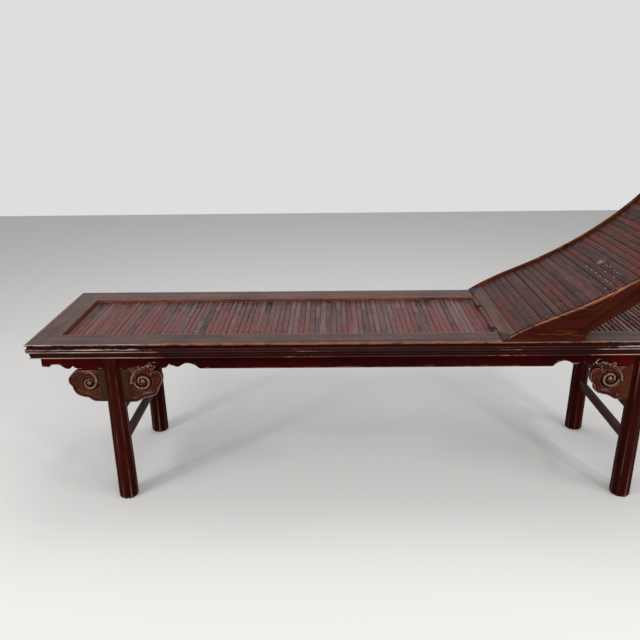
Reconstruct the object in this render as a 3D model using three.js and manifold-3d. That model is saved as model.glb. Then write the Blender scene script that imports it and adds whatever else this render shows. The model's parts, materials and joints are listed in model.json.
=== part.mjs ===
// Lacquered long bench with bamboo slats and a curved backrest that folds down over the seat.
// Millimetres, +Z up. X runs along the bench, from the foot end to the head end, and -Y is the front.
// The origin is on the floor, at the middle of the bench.

import * as THREE from 'three';
import { mergeVertices } from 'three/addons/utils/BufferGeometryUtils.js';
import Module from 'manifold-3d';

const wasm = await Module();
wasm.setup();

// Overall
const benchLength = 1870;
const benchWidth = 448;
const seatHeight = 491;
const fitGap = 0.3; // clearance between fitted pieces
const cutOverrun = 4; // how far a cutting tool runs past the face it opens

// Mitred frame of the seat
const railWidth = 72;
const railDepth = 40;
const mouldInset = 9; // how far the foot of the moulded edge stands back
const panelRecess = 12; // slats lie this far below the rails
const slatGrooveDepth = 8;

// Slats of the seat
const slatPitch = 15.5;
const slatWidth = 14.6;
const slatThickness = 6;
const slatCrown = 1.3; // height of the rounded skin above the slat's edges
const lathWidth = 26;
const lathDepth = 8;
const lathBite = 0.5; // how far a lath is let into the slats

// Braces under the slats
const braceWidth = 32;
const braceDepth = 22;

// Aprons
const apronInset = 27;
const apronThickness = 14;
const apronDepth = 44;
const overhangCuspReach = 128; // from the bench's end to the last cusp of the overhang
const leafStart = 61; // from the leg's axis to the root of the carved leaf
const apronCuspReach = 240; // from the leg's axis to the straight part of the apron

// Spandrels
const spandrelReach = 135; // from the leg's axis
const spandrelDrop = 100; // below the apron's edge
const leafRise = 16.5; // above the apron's edge
const voluteOut = 75; // centre of the scroll, from the leg's axis
const voluteDrop = 40; // centre of the scroll, below the apron's edge
const voluteRadius = 30;
const voluteEye = 6;
const voluteTurns = 1.9;
const scrollGrooveWidth = 6.2;
const scrollGrooveDepth = 4.6;

// Legs
const legInset = 217.5; // from the bench's end to the leg's axis
const legTopRadius = 22.6;
const legFootRadius = 26.8;
const legSplay = 1; // how far the foot stands out past the top, along the bench
const reedDepth = 2.4;
const reedCount = 8;
const footRound = 5;

// Stretchers between the legs of a pair
const stretcherHeight = 26;
const stretcherWidth = 20;
const stretcherEase = 5; // chamfer along the edges
const stretcherHousing = 9; // how far an end goes into the leg
const upperStretcherLevel = 271;
const lowerStretcherLevel = 174;

// Backrest
const hingeFromHead = 608; // hinge axis, from the head end of the bench
const boardThickness = 13;
const tipRun = 143; // low part of the side board's upper edge
const tipRise = 73;
const backRun = 572; // upper end of the side board's upper edge, from the hinge axis
const backRise = 382;
const tipHandle = 50;
const lowHandle = 225;
const crestHandle = 135;
const tipStart = 1.2; // the side board's sharp front end, from the hinge axis
const footLength = 217;
const crestDepth = 42; // depth of the side board at its upper end
const waistDepth = 60; // depth of the side board at its waist
const heelHandle = 22;
const waistHandle = 80;
const heelStand = 7; // straight part of the heel
const crestRound = 12;
const backRecess = 8; // slats lie this far below the side boards' upper edges
const backGrooveDepth = 6;
const backSlatPitch = 18.6;
const backSlatWidth = 17.4;
const backSlatThickness = 6;
const backLathInset = 106; // from a side board to the middle of each lath
const bottomRailWidth = 38;
const bottomRailNose = 2.6; // thickness of the bottom rail's front edge
const bottomRailBow = 5; // how far its front edge curves in at the middle
const mitreRun = 30;
const crestRailWidth = 46;
const crestRailDepth = 24;
const backBraceWidth = 34;
const backBraceDepth = 16;

// Hinges
const hingeInset = 29; // from a seat rail to the near end of each hinge
const hingeLength = 62;
const knuckleRadius = 4;
const knuckleGap = 0.4;
const pinRadius = 1.9;
const pinGap = 0.25;
const leafThickness = 2.2;
const leafWidth = 30;
const leafPart = 0.2; // half of the space between the closed leaves

// Angles, in degrees
const tipSlope = 35;
const lowSlope = 22.5;
const crestSlope = 54.5;
const waistSlope = 35;
const scrollStart = 60; // where the scroll's groove starts, round its centre

// Facets of the curved surfaces
const crownSteps = 2;
const scrollStepsPerTurn = 14;
const pointsPerReed = 4;
const edgeSteps = 26; // along the side boards' upper edge
const knuckleFacets = 12;

// The moulded edge: inset as a share of mouldInset, drop as a share of railDepth
const edgeProfileShares = [
  [0.34, 0], [0.07, 0.06], [0, 0.13], [0.09, 0.2], [0.36, 0.24], [0.4, 0.285], [0.15, 0.325],
  [0.04, 0.44], [0.14, 0.555], [0.34, 0.6], [0.52, 0.67], [0.66, 0.76], [0.95, 0.815],
  [0.95, 0.86], [0.74, 0.89], [0.7, 0.94], [0.78, 0.98], [1, 1],
];

// Lower edge of the apron's overhang: distance as a share of the way from the mitre's inner
// corner to overhangCuspReach, depth as a share of apronDepth; each row is one lobe
const overhangLobeShares = [
  [[0, 0.82], [0.04, 0.84], [0.11, 0.7]],
  [[0.11, 0.7], [0.32, 0.69], [0.49, 0.81], [0.6, 0.93], [0.71, 0.95], [0.8, 0.77]],
  [[0.8, 0.77], [0.88, 0.92], [1, 1]],
];

// Lower edge of the apron beyond the spandrel: distance as a share of the way from leafStart
// to apronCuspReach, depth as a share of apronDepth; each row is one lobe
const apronLobeShares = [
  [[0, 1], [0.09, 0.85], [0.19, 0.7], [0.28, 0.61], [0.34, 0.61]],
  [[0.34, 0.61], [0.39, 0.92], [0.48, 0.915], [0.545, 0.67]],
  [[0.545, 0.67], [0.56, 0.76], [0.64, 0.865], [0.71, 0.8]],
  [[0.71, 0.8], [0.78, 0.66], [0.86, 0.67], [0.94, 0.8], [1, 1]],
];

// Outlines of the spandrels, as lobes from the head round to the leg: distance from the leg's
// axis as a share of spandrelReach, drop as a share of spandrelDrop
const innerHeadShares = [
  [[0.775, 0.11], [0.84, 0.055], [0.93, 0.06], [0.99, 0.16], [1, 0.31], [0.965, 0.46], [0.895, 0.58]],
  [[0.895, 0.58], [0.875, 0.71], [0.8, 0.8], [0.7, 0.845]],
  [[0.7, 0.845], [0.62, 0.865], [0.53, 0.92]],
  [[0.53, 0.92], [0.45, 0.985], [0.35, 1], [0.2, 1]],
];
const outerHeadShares = [
  [[0.66, 0.02], [0.77, 0.06], [0.88, 0.19], [0.925, 0.31], [0.91, 0.43], [0.865, 0.51]],
  [[0.865, 0.51], [0.84, 0.64], [0.77, 0.77], [0.63, 0.845]],
  [[0.63, 0.845], [0.57, 0.85], [0.52, 0.9]],
  [[0.52, 0.9], [0.44, 0.965], [0.35, 0.975], [0.2, 0.975]],
];

const leafCrestShare = 0.84; // the leaf's tip, as a share of spandrelReach

// The scroll's groove is shallow at both ends: its taper is the sine of half a turn's share,
// which runs from the first value to the second along the groove
const grooveTaperShares = [0.12, 0.92];

// Places along the side boards' upper edge, as shares of its length
const waistShare = 0.5;
const backBraceShares = { back_lower_brace: 1 / 3, back_upper_brace: 3 / 4 };

// Finishes
const lacquer = { color: '#4a1a12', roughness: 0.32, metalness: 0 };
const wornLacquer = { color: '#4b3530', roughness: 0.45, metalness: 0 };
const bamboo = { color: '#5d2b25', roughness: 0.4, metalness: 0 };
const warmLacquer = { color: '#7a3318', roughness: 0.38, metalness: 0 };
const bareWood = { color: '#5f452f', roughness: 0.7, metalness: 0 };
const iron = { color: '#2b2622', roughness: 0.55, metalness: 0.8 };

const halfLength = benchLength / 2;
const halfWidth = benchWidth / 2;
const railUnderside = seatHeight - railDepth;
const apronTop = railUnderside - fitGap;
const apronEdge = railUnderside - apronDepth;
const legAxisX = halfLength - legInset;
const apronMiddleY = halfWidth - apronInset - apronThickness / 2;
const panelHalfWidth = halfWidth - railWidth;
const panelHalfLength = halfLength - railWidth;
const slatTop = seatHeight - panelRecess;
const slatBottom = slatTop - slatThickness;
const lathBottom = slatBottom + lathBite - lathDepth;
const hingeX = halfLength - hingeFromHead;
const hingeOffset = panelHalfWidth - hingeInset - hingeLength / 2; // from the bench's middle to each hinge
const hingeZ = seatHeight + fitGap;
const hingeRailFront = hingeX + knuckleRadius + 2 * fitGap;
const hingeRailBack = hingeRailFront + leafWidth + 2 * knuckleRadius;
const hingeRailTop = hingeZ - leafPart - leafThickness - fitGap;

const ends = [['foot', -1], ['head', 1]];
const sides = [['front', -1], ['rear', 1]];

const recliner = new THREE.Group();

const radians = (degrees) => degrees * Math.PI / 180;

// Adds a named mesh to a group
function addPiece(name, geometry, finish, parent = recliner) {
  const mesh = new THREE.Mesh(geometry, new THREE.MeshStandardMaterial(finish));
  mesh.name = name;
  parent.add(mesh);
  return mesh;
}

// Turns a closed geometry into a solid for joining and cutting
function toSolid(geometry) {
  const bare = geometry.index ? geometry.toNonIndexed() : geometry.clone();
  bare.deleteAttribute('normal');
  bare.deleteAttribute('uv');
  const merged = mergeVertices(bare, fitGap / 1000);
  return new wasm.Manifold(new wasm.Mesh({
    numProp: 3,
    vertProperties: new Float32Array(merged.attributes.position.array),
    triVerts: new Uint32Array(merged.index.array),
  }));
}

// Turns a solid back into a geometry
function toGeometry(solid) {
  const mesh = solid.getMesh();
  const geometry = new THREE.BufferGeometry();
  geometry.setAttribute('position', new THREE.BufferAttribute(new Float32Array(mesh.vertProperties), 3));
  geometry.setIndex(new THREE.BufferAttribute(new Uint32Array(mesh.triVerts), 1));
  geometry.computeVertexNormals();
  return geometry;
}

// Joins closed geometries into one
function joinAll(geometries) {
  return toGeometry(wasm.Manifold.union(geometries.map(toSolid)));
}

// Cuts tools out of a closed geometry
function cutFrom(geometry, tools) {
  return toGeometry(toSolid(geometry).subtract(wasm.Manifold.union(tools.map(toSolid))));
}

// A shape drawn in X and Z, extruded along +Y from the plane y = start
function extrudeAlongY(shape, start, depth, curveSegments = 1) {
  const geometry = new THREE.ExtrudeGeometry(shape, { depth, curveSegments, bevelEnabled: false });
  geometry.rotateX(Math.PI / 2);
  geometry.translate(0, start + depth, 0);
  return geometry;
}

// A box with its middle at x, y, z
function block(width, depth, height, x, y, z) {
  const geometry = new THREE.BoxGeometry(width, depth, height);
  geometry.translate(x, y, z);
  return geometry;
}

// Follows rows of points as smooth lobes that meet in cusps
function addLobes(path, rows) {
  for (const row of rows) {
    path.lineTo(row[0].x, row[0].y);
    path.splineThru(row.slice(1));
  }
}

// Section of a seat rail: outer moulding, top, and the groove that holds the slats' ends.
// Inwards is +X and up is +Y, with the top of the outer edge at the origin.
function railSection() {
  const points = edgeProfileShares.map(([inset, drop]) =>
    new THREE.Vector2(inset * mouldInset, -drop * railDepth));
  const grooveTop = -panelRecess + fitGap;
  const grooveBottom = grooveTop - slatThickness - 2 * fitGap;
  points.push(new THREE.Vector2(railWidth, -railDepth));
  points.push(new THREE.Vector2(railWidth, grooveBottom));
  points.push(new THREE.Vector2(railWidth - slatGrooveDepth, grooveBottom));
  points.push(new THREE.Vector2(railWidth - slatGrooveDepth, grooveTop));
  points.push(new THREE.Vector2(railWidth, grooveTop));
  points.push(new THREE.Vector2(railWidth, 0));
  return new THREE.Shape(points);
}

// A rail of the mitred frame: its section is carried along X and each end is cut at 45 degrees,
// so a point that lies further in gives a shorter line. The outer edge faces -Y.
function mitredRail(length, reach) {
  const geometry = new THREE.ExtrudeGeometry(railSection(), { depth: 1, bevelEnabled: false });
  const position = geometry.attributes.position;
  for (let i = 0; i < position.count; i += 1) {
    const inward = position.getX(i);
    const halfRun = length / 2 - inward - fitGap / 2;
    const side = position.getZ(i) > 0.5 ? 1 : -1;
    position.setXYZ(i, side * halfRun, inward - reach, seatHeight + position.getY(i));
  }
  geometry.deleteAttribute('normal');
  geometry.computeVertexNormals();
  return geometry;
}

function addRails() {
  const rails = [
    ['front_rail', benchLength, halfWidth, 0],
    ['head_end_rail', benchWidth, halfLength, 1],
    ['rear_rail', benchLength, halfWidth, 2],
    ['foot_end_rail', benchWidth, halfLength, 3],
  ];
  for (const [name, length, reach, quarters] of rails) {
    const rail = addPiece(name, mitredRail(length, reach), wornLacquer);
    rail.rotation.z = quarters * Math.PI / 2;
  }
}

// Section of a bamboo slat, with its rounded skin up and its underside on the X axis
function slatSection(width, thickness) {
  const half = width / 2;
  const shoulder = thickness - slatCrown;
  const shape = new THREE.Shape();
  shape.moveTo(-half, 0);
  shape.lineTo(half, 0);
  shape.lineTo(half, shoulder);
  shape.quadraticCurveTo(0, shoulder + 2 * slatCrown, -half, shoulder);
  shape.closePath();
  return shape;
}

// A deck of slats side by side along X, each let on to a lath that runs under their middle
function slatDeck(start, end) {
  const count = Math.floor((end - start) / slatPitch);
  const spare = (end - start - count * slatPitch) / 2;
  const reach = panelHalfWidth + slatGrooveDepth - 2 * fitGap;
  const pieces = [];
  for (let i = 0; i < count; i += 1) {
    const slat = extrudeAlongY(slatSection(slatWidth, slatThickness), -reach, 2 * reach, crownSteps);
    slat.translate(start + spare + (i + 0.5) * slatPitch, 0, slatBottom);
    pieces.push(slat);
  }
  const run = end - start - 2 * fitGap;
  pieces.push(block(run, lathWidth, lathDepth, (start + end) / 2, 0, lathBottom + lathDepth / 2));
  return joinAll(pieces);
}

function addDeck() {
  addPiece('seat_slats', slatDeck(-panelHalfLength, hingeRailFront), bamboo);
  addPiece('head_slats', slatDeck(hingeRailBack, panelHalfLength), bamboo);
  const span = 2 * panelHalfWidth - 2 * fitGap;
  const braceTop = lathBottom - fitGap;
  const seatRun = hingeRailFront + panelHalfLength;
  const headRun = panelHalfLength - hingeRailBack;
  const places = [1, 2, 3].map((step) => -panelHalfLength + step * seatRun / 4);
  places.push(hingeRailBack + headRun / 2);
  places.forEach((x, i) => {
    const brace = block(braceWidth, span, braceDepth, x, 0, braceTop - braceDepth / 2);
    addPiece(`deck_brace_${i + 1}`, brace, bareWood);
  });
  const depth = hingeRailTop - railUnderside;
  const width = hingeRailBack - hingeRailFront - 2 * fitGap;
  const middle = (hingeRailFront + hingeRailBack) / 2;
  addPiece('hinge_rail', block(width, span, depth, middle, 0, railUnderside + depth / 2), bareWood);
}

// Lower edge of the overhang from the bench's end inwards, as rows of points in X and Z
function overhangLobes(endX) {
  const start = endX + apronInset + apronThickness + fitGap;
  const run = endX + overhangCuspReach - start;
  return overhangLobeShares.map((row) => row.map(([out, deep]) =>
    new THREE.Vector2(start + out * run, railUnderside - deep * apronDepth)));
}

// Lower edge beyond the inner spandrel, from the leg towards the middle of the bench
function apronLobes(axisX) {
  const run = apronCuspReach - leafStart;
  return apronLobeShares.map((row) => row.map(([out, deep]) =>
    new THREE.Vector2(axisX + leafStart + out * run, railUnderside - deep * apronDepth)));
}

// Reverses rows of lobes and mirrors them about the middle of a board
function mirroredLobes(rows) {
  return rows.map((row) => row.map((point) => new THREE.Vector2(-point.x, point.y)).reverse()).reverse();
}

// A board drawn in X and Z whose ends are mitred at 45 degrees, with its outer face at y = 0
function mitredBoard(shape, halfRun, thickness) {
  const geometry = extrudeAlongY(shape, 0, thickness, 2);
  const position = geometry.attributes.position;
  for (let i = 0; i < position.count; i += 1) {
    const x = position.getX(i);
    if (Math.abs(x) > halfRun - fitGap) {
      position.setX(i, Math.sign(x) * (halfRun - position.getY(i) - fitGap / 2));
    }
  }
  geometry.deleteAttribute('normal');
  geometry.computeVertexNormals();
  return geometry;
}

function apronShape(halfRun, rows) {
  const first = rows[0][0];
  const last = rows[rows.length - 1];
  const shape = new THREE.Shape();
  shape.moveTo(halfRun, apronTop);
  shape.lineTo(-halfRun, apronTop);
  shape.lineTo(-halfRun, first.y);
  addLobes(shape, rows);
  shape.lineTo(halfRun, last[last.length - 1].y);
  shape.closePath();
  return shape;
}

function addAprons() {
  const longHalf = halfLength - apronInset;
  const shortHalf = halfWidth - apronInset;
  const leftRows = [...overhangLobes(-halfLength), ...apronLobes(-legAxisX)];
  const longShape = apronShape(longHalf, [...leftRows, ...mirroredLobes(leftRows)]);
  const endRows = overhangLobes(-halfWidth);
  const shortShape = apronShape(shortHalf, [...endRows, ...mirroredLobes(endRows)]);
  const boards = [
    ['front_apron', longShape, longHalf, shortHalf, 0],
    ['head_end_apron', shortShape, shortHalf, longHalf, 1],
    ['rear_apron', longShape, longHalf, shortHalf, 2],
    ['foot_end_apron', shortShape, shortHalf, longHalf, 3],
  ];
  for (const [name, shape, halfRun, reach, quarters] of boards) {
    const geometry = mitredBoard(shape, halfRun, apronThickness);
    geometry.translate(0, -reach, 0);
    addPiece(name, geometry, lacquer).rotation.z = quarters * Math.PI / 2;
  }
}

function spandrelPoint([out, deep]) {
  return new THREE.Vector2(out * spandrelReach, apronEdge - fitGap - deep * spandrelDrop);
}

// Outline of a spandrel, drawn outwards from the leg's axis. The inner one has a curled leaf
// that rises into the notch of the apron.
function spandrelShape(inner) {
  const top = apronEdge - fitGap;
  const rows = (inner ? innerHeadShares : outerHeadShares).map((row) => row.map(spandrelPoint));
  const shape = new THREE.Shape();
  shape.moveTo(fitGap, rows[rows.length - 1][3].y);
  shape.lineTo(fitGap, top);
  if (inner) {
    shape.lineTo(leafStart, top);
    // The leaf's back follows the first lobe of the apron's edge
    const lift = apronLobes(0)[0].slice(1, 4).map((point) =>
      new THREE.Vector2(point.x, point.y - 2 * fitGap));
    shape.splineThru(lift);
    const tip = leafCrestShare * spandrelReach;
    shape.quadraticCurveTo(tip + leafRise / 4, top + leafRise / 2, tip, top);
  }
  addLobes(shape, rows);
  shape.closePath();
  return shape;
}

// A tapering channel with a V section that winds inwards as a scroll
function scrollChannel(faceY) {
  const steps = Math.round(voluteTurns * scrollStepsPerTurn);
  const positions = [];
  const rings = [];
  const flare = scrollGrooveWidth / 2 / scrollGrooveDepth;
  const [taperStart, taperEnd] = grooveTaperShares;
  for (let i = 0; i <= steps; i += 1) {
    const share = i / steps;
    const angle = radians(scrollStart) + share * voluteTurns * 2 * Math.PI;
    const radius = voluteRadius + (voluteEye - voluteRadius) * share;
    const taper = Math.sin(Math.PI * (taperStart + (taperEnd - taperStart) * share));
    const sunk = scrollGrooveDepth * taper;
    const half = flare * (sunk + cutOverrun);
    const ring = [[-half, -cutOverrun], [0, sunk], [half, -cutOverrun]].map(([off, deep]) => [
      voluteOut + (radius + off) * Math.cos(angle),
      faceY + deep,
      apronEdge - voluteDrop + (radius + off) * Math.sin(angle),
    ]);
    rings.push(ring);
  }
  const corner = (ring, k) => positions.push(...rings[ring][k]);
  const triangle = (a, b, c) => {
    corner(...a);
    corner(...b);
    corner(...c);
  };
  for (let i = 0; i < steps; i += 1) {
    for (let k = 0; k < 3; k += 1) {
      const n = (k + 1) % 3;
      triangle([i, k], [i + 1, k], [i + 1, n]);
      triangle([i, k], [i + 1, n], [i, n]);
    }
  }
  triangle([0, 0], [0, 1], [0, 2]);
  triangle([steps, 0], [steps, 2], [steps, 1]);
  const geometry = new THREE.BufferGeometry();
  geometry.setAttribute('position', new THREE.Float32BufferAttribute(positions, 3));
  return geometry;
}

function spandrel(inner) {
  const plate = extrudeAlongY(spandrelShape(inner), 0, apronThickness, 1);
  return cutFrom(plate, [scrollChannel(0)]);
}

// Mirrors a geometry along X or Y and keeps its faces pointing out
function mirrored(geometry, signX, signY) {
  const copy = geometry.clone();
  copy.scale(signX, signY, 1);
  if (signX * signY < 0) {
    const index = copy.index.array;
    for (let i = 0; i < index.length; i += 3) {
      [index[i], index[i + 1]] = [index[i + 1], index[i]];
    }
  }
  copy.computeVertexNormals();
  return copy;
}

function addSpandrels() {
  const outward = { inner: spandrel(true), outer: spandrel(false) };
  for (const [end, endSign] of ends) {
    for (const [side, sideSign] of sides) {
      for (const kind of ['inner', 'outer']) {
        const signX = kind === 'inner' ? -endSign : endSign;
        const geometry = mirrored(outward[kind], signX, -sideSign);
        const piece = addPiece(`${end}_${side}_${kind}_spandrel`, geometry, wornLacquer);
        piece.position.set(endSign * legAxisX, sideSign * (halfWidth - apronInset), 0);
      }
    }
  }
}

// Distance by which the leg's axis has moved out at a height
function splayAt(height) {
  return legSplay * (1 - height / apronTop);
}

// Round leg with rounded reeds, standing on z = 0, splayed along -X
function reededLeg() {
  const around = reedCount * pointsPerReed;
  const radiusAt = (height) => legFootRadius + (legTopRadius - legFootRadius) * height / apronTop;
  const levels = [[0, footRound], [footRound / 3, footRound / 3], [footRound, 0], [apronTop, 0]];
  const rings = levels.map(([height, inset]) => {
    const ring = [];
    for (let i = 0; i < around; i += 1) {
      const angle = 2 * Math.PI * i / around;
      const reed = Math.abs(Math.sin(angle * reedCount / 2));
      const radius = radiusAt(height) - inset - reedDepth * (1 - reed) ** 2;
      ring.push([radius * Math.cos(angle) - splayAt(height), radius * Math.sin(angle), height]);
    }
    return ring;
  });
  const positions = [];
  for (let j = 0; j + 1 < rings.length; j += 1) {
    for (let i = 0; i < around; i += 1) {
      const n = (i + 1) % around;
      positions.push(...rings[j][i], ...rings[j][n], ...rings[j + 1][n]);
      positions.push(...rings[j][i], ...rings[j + 1][n], ...rings[j + 1][i]);
    }
  }
  const foot = [-splayAt(0), 0, 0];
  const top = [0, 0, apronTop];
  for (let i = 0; i < around; i += 1) {
    const n = (i + 1) % around;
    positions.push(...foot, ...rings[0][n], ...rings[0][i]);
    positions.push(...top, ...rings[rings.length - 1][i], ...rings[rings.length - 1][n]);
  }
  const geometry = new THREE.BufferGeometry();
  geometry.setAttribute('position', new THREE.Float32BufferAttribute(positions, 3));
  return geometry;
}

// Leg of the foot end's front corner: slotted for the apron and the spandrels, and housed for
// the two stretchers
function legPiece() {
  const slotBottom = apronEdge - spandrelDrop - 2 * fitGap;
  const slotHeight = apronTop + cutOverrun - slotBottom;
  const across = 2 * legFootRadius + 2 * cutOverrun;
  const slot = block(across, apronThickness + 2 * fitGap, slotHeight, 0, 0, slotBottom + slotHeight / 2);
  const housings = [upperStretcherLevel, lowerStretcherLevel].map((level) => {
    const depth = 2 * legFootRadius;
    const start = housingStart(level) - fitGap;
    return block(stretcherWidth + 2 * fitGap, depth, stretcherHeight + 2 * fitGap,
      -splayAt(level), start + depth / 2, level);
  });
  return cutFrom(reededLeg(), [slot, ...housings]);
}

// How far from the leg's axis a stretcher's end stops
function housingStart(level) {
  const radius = legFootRadius + (legTopRadius - legFootRadius) * level / apronTop;
  return radius - reedDepth - stretcherHousing;
}

function addLegs() {
  const leg = legPiece();
  for (const [end, endSign] of ends) {
    for (const [side, sideSign] of sides) {
      const piece = addPiece(`${end}_${side}_leg`, mirrored(leg, -endSign, -sideSign), lacquer);
      piece.position.set(endSign * legAxisX, sideSign * apronMiddleY, 0);
    }
  }
}

// Bar with eased edges between two legs
function addStretchers() {
  const half = stretcherWidth / 2;
  const rise = stretcherHeight / 2;
  const ease = stretcherEase;
  const section = new THREE.Shape([
    [-half + ease, -rise], [half - ease, -rise], [half, -rise + ease], [half, rise - ease],
    [half - ease, rise], [-half + ease, rise], [-half, rise - ease], [-half, -rise + ease],
  ].map(([x, y]) => new THREE.Vector2(x, y)));
  const levels = [['upper', upperStretcherLevel], ['lower', lowerStretcherLevel]];
  for (const [end, endSign] of ends) {
    for (const [level, height] of levels) {
      const reach = apronMiddleY - housingStart(height);
      const bar = extrudeAlongY(section, -reach, 2 * reach);
      const piece = addPiece(`${end}_${level}_stretcher`, bar, lacquer);
      piece.position.set(endSign * (legAxisX + splayAt(height)), 0, height);
    }
  }
}

function heading(degrees, length) {
  return new THREE.Vector2(Math.cos(radians(degrees)), Math.sin(radians(degrees))).multiplyScalar(length);
}

// Upper edge of a side board, from its sharp front end up to the crest. X and Z are measured
// from the hinge axis.
function backCurve() {
  const tip = new THREE.Vector2(tipStart, 0);
  const low = new THREE.Vector2(tipRun, tipRise);
  const crest = new THREE.Vector2(backRun, backRise);
  const path = new THREE.CurvePath();
  path.add(new THREE.CubicBezierCurve(
    tip,
    tip.clone().add(heading(tipSlope, tipHandle)),
    low.clone().sub(heading(lowSlope, tipHandle)),
    low,
  ));
  path.add(new THREE.CubicBezierCurve(
    low,
    low.clone().add(heading(lowSlope, lowHandle)),
    crest.clone().sub(heading(crestSlope, crestHandle)),
    crest,
  ));
  return path;
}

const curve = backCurve();
const curveLength = curve.getLength();

// Point at a share of the curve's length, moved square to it by a depth below the edge
function belowEdge(share, depth) {
  const tangent = curve.getTangentAt(share);
  const point = curve.getPointAt(share);
  return new THREE.Vector2(point.x + tangent.y * depth, point.y - tangent.x * depth);
}

// Outline of a side board: hollow upper edge, rounded crest, lower edge that narrows upwards,
// rounded heel and flat foot
function sideBoardShape() {
  const shape = new THREE.Shape();
  shape.moveTo(tipStart, 0);
  shape.lineTo(footLength, 0);
  shape.lineTo(footLength, heelStand);
  const waist = belowEdge(waistShare, waistDepth);
  const turn = waist.clone().sub(heading(waistSlope, waistHandle));
  shape.bezierCurveTo(footLength, heelStand + heelHandle, turn.x, turn.y, waist.x, waist.y);
  const lowerSteps = edgeSteps / 2;
  const endShare = 1 - crestRound / curveLength;
  for (let i = 1; i <= lowerSteps; i += 1) {
    const along = i / lowerSteps;
    const depth = waistDepth + (crestDepth - waistDepth) * along;
    const point = belowEdge(waistShare + (endShare - waistShare) * along, depth);
    shape.lineTo(point.x, point.y);
  }
  const lowCorner = belowEdge(1, crestDepth);
  const lowTurn = belowEdge(1, crestDepth - crestRound);
  shape.quadraticCurveTo(lowCorner.x, lowCorner.y, lowTurn.x, lowTurn.y);
  const highTurn = belowEdge(1, crestRound);
  const highEnd = belowEdge(endShare, 0);
  shape.lineTo(highTurn.x, highTurn.y);
  shape.quadraticCurveTo(belowEdge(1, 0).x, belowEdge(1, 0).y, highEnd.x, highEnd.y);
  for (let i = edgeSteps - 1; i > 0; i -= 1) {
    const point = belowEdge(endShare * i / edgeSteps, 0);
    shape.lineTo(point.x, point.y);
  }
  shape.closePath();
  return shape;
}

// A band that follows the curve between two depths, from one share of its length to another
function curvedBand(fromShare, toShare, top, bottom, steps) {
  const upper = [];
  const lower = [];
  for (let i = 0; i <= steps; i += 1) {
    const share = fromShare + (toShare - fromShare) * i / steps;
    upper.push(belowEdge(share, top));
    lower.push(belowEdge(share, bottom));
  }
  return new THREE.Shape([...upper.reverse(), ...lower]);
}

const boardInner = halfWidth - boardThickness;
const bottomRailShare = (bottomRailWidth + knuckleRadius + 2 * fitGap) / curveLength;
const crestRailShare = 1 - (crestRailWidth + crestRound / 2) / curveLength;
const slatRunStart = bottomRailShare + 2 * fitGap / curveLength;
const slatRunEnd = crestRailShare - 2 * fitGap / curveLength;

// Plan of the bottom rail: mitred over the ends of the side boards, with a front edge that
// curves in at the middle
function bottomRailPlan() {
  const slope = boardThickness / mitreRun;
  const front = knuckleRadius + 2 * fitGap;
  const back = mitreRun + bottomRailWidth;
  const start = tipStart - 2 * fitGap;
  const inner = boardInner - fitGap;
  const tip = halfWidth - (front - start) * slope;
  const mitreEnd = start + (halfWidth - inner) / slope;
  const plan = new THREE.Shape();
  plan.moveTo(front, -tip);
  plan.quadraticCurveTo(front + 2 * bottomRailBow, 0, front, tip);
  plan.lineTo(mitreEnd, inner);
  plan.lineTo(back, inner);
  plan.lineTo(back, -inner);
  plan.lineTo(mitreEnd, -inner);
  plan.closePath();
  return plan;
}

function addBack() {
  const back = new THREE.Group();
  back.position.set(hingeX, 0, hingeZ);
  recliner.add(back);
  addSideBoards(back);
  addBottomRail(back);
  addBackSlats(back);
  addCrestRail(back);
  addBackBraces(back);
  addMovingLeaves(back);
}

// Side boards: grooved on the inside for the slats, and cut to a mitre under the bottom rail
function addSideBoards(back) {
  const board = extrudeAlongY(sideBoardShape(), -halfWidth, boardThickness, 8);
  const groove = extrudeAlongY(
    curvedBand(slatRunStart / 2, 1 - crestRound / curveLength, backRecess - fitGap,
      backRecess + backSlatThickness + fitGap, edgeSteps),
    -boardInner - backGrooveDepth, backGrooveDepth + cutOverrun);
  const front = cutFrom(board, [groove, mitreTool()]);
  addPiece('front_side_board', front, warmLacquer, back);
  addPiece('rear_side_board', mirrored(front, 1, -1), warmLacquer, back);
}

// Wedge that takes the side board's inner front corner away along the mitre
function mitreTool() {
  const slope = boardThickness / mitreRun;
  const outer = -halfWidth - cutOverrun;
  const inner = -boardInner + cutOverrun;
  const mitreX = (y) => tipStart + (halfWidth + y) / slope;
  const plan = new THREE.Shape([
    new THREE.Vector2(mitreX(outer), outer),
    new THREE.Vector2(mitreX(inner), inner),
    new THREE.Vector2(mitreX(outer) - cutOverrun, inner),
  ]);
  const tool = new THREE.ExtrudeGeometry(plan, { depth: tipRise, bevelEnabled: false });
  tool.translate(0, 0, -cutOverrun);
  return tool;
}

// Wedge-shaped bottom rail that lies flat on the seat rails, with mitred ends
function addBottomRail(back) {
  const rearTop = belowEdge(bottomRailShare, backRecess);
  const section = new THREE.Shape();
  section.moveTo(tipStart, 0);
  section.lineTo(rearTop.x + rearTop.y * Math.tan(radians(lowSlope)), 0);
  section.lineTo(rearTop.x, rearTop.y);
  section.lineTo(tipStart, bottomRailNose);
  section.closePath();
  const wedge = extrudeAlongY(section, -halfWidth, benchWidth);
  const plan = new THREE.ExtrudeGeometry(bottomRailPlan(),
    { depth: tipRise, curveSegments: 8, bevelEnabled: false });
  plan.translate(0, 0, -cutOverrun);
  const solid = toSolid(wedge).intersect(toSolid(plan));
  const pockets = sides.map(([, sign]) => block(
    leafWidth + 2 * knuckleRadius, hingeLength + 2 * fitGap, 2 * (leafPart + leafThickness + fitGap),
    (leafWidth + 2 * knuckleRadius) / 2, sign * hingeOffset, 0));
  addPiece('back_bottom_rail', cutFrom(toGeometry(solid), pockets), wornLacquer, back);
}

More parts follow.
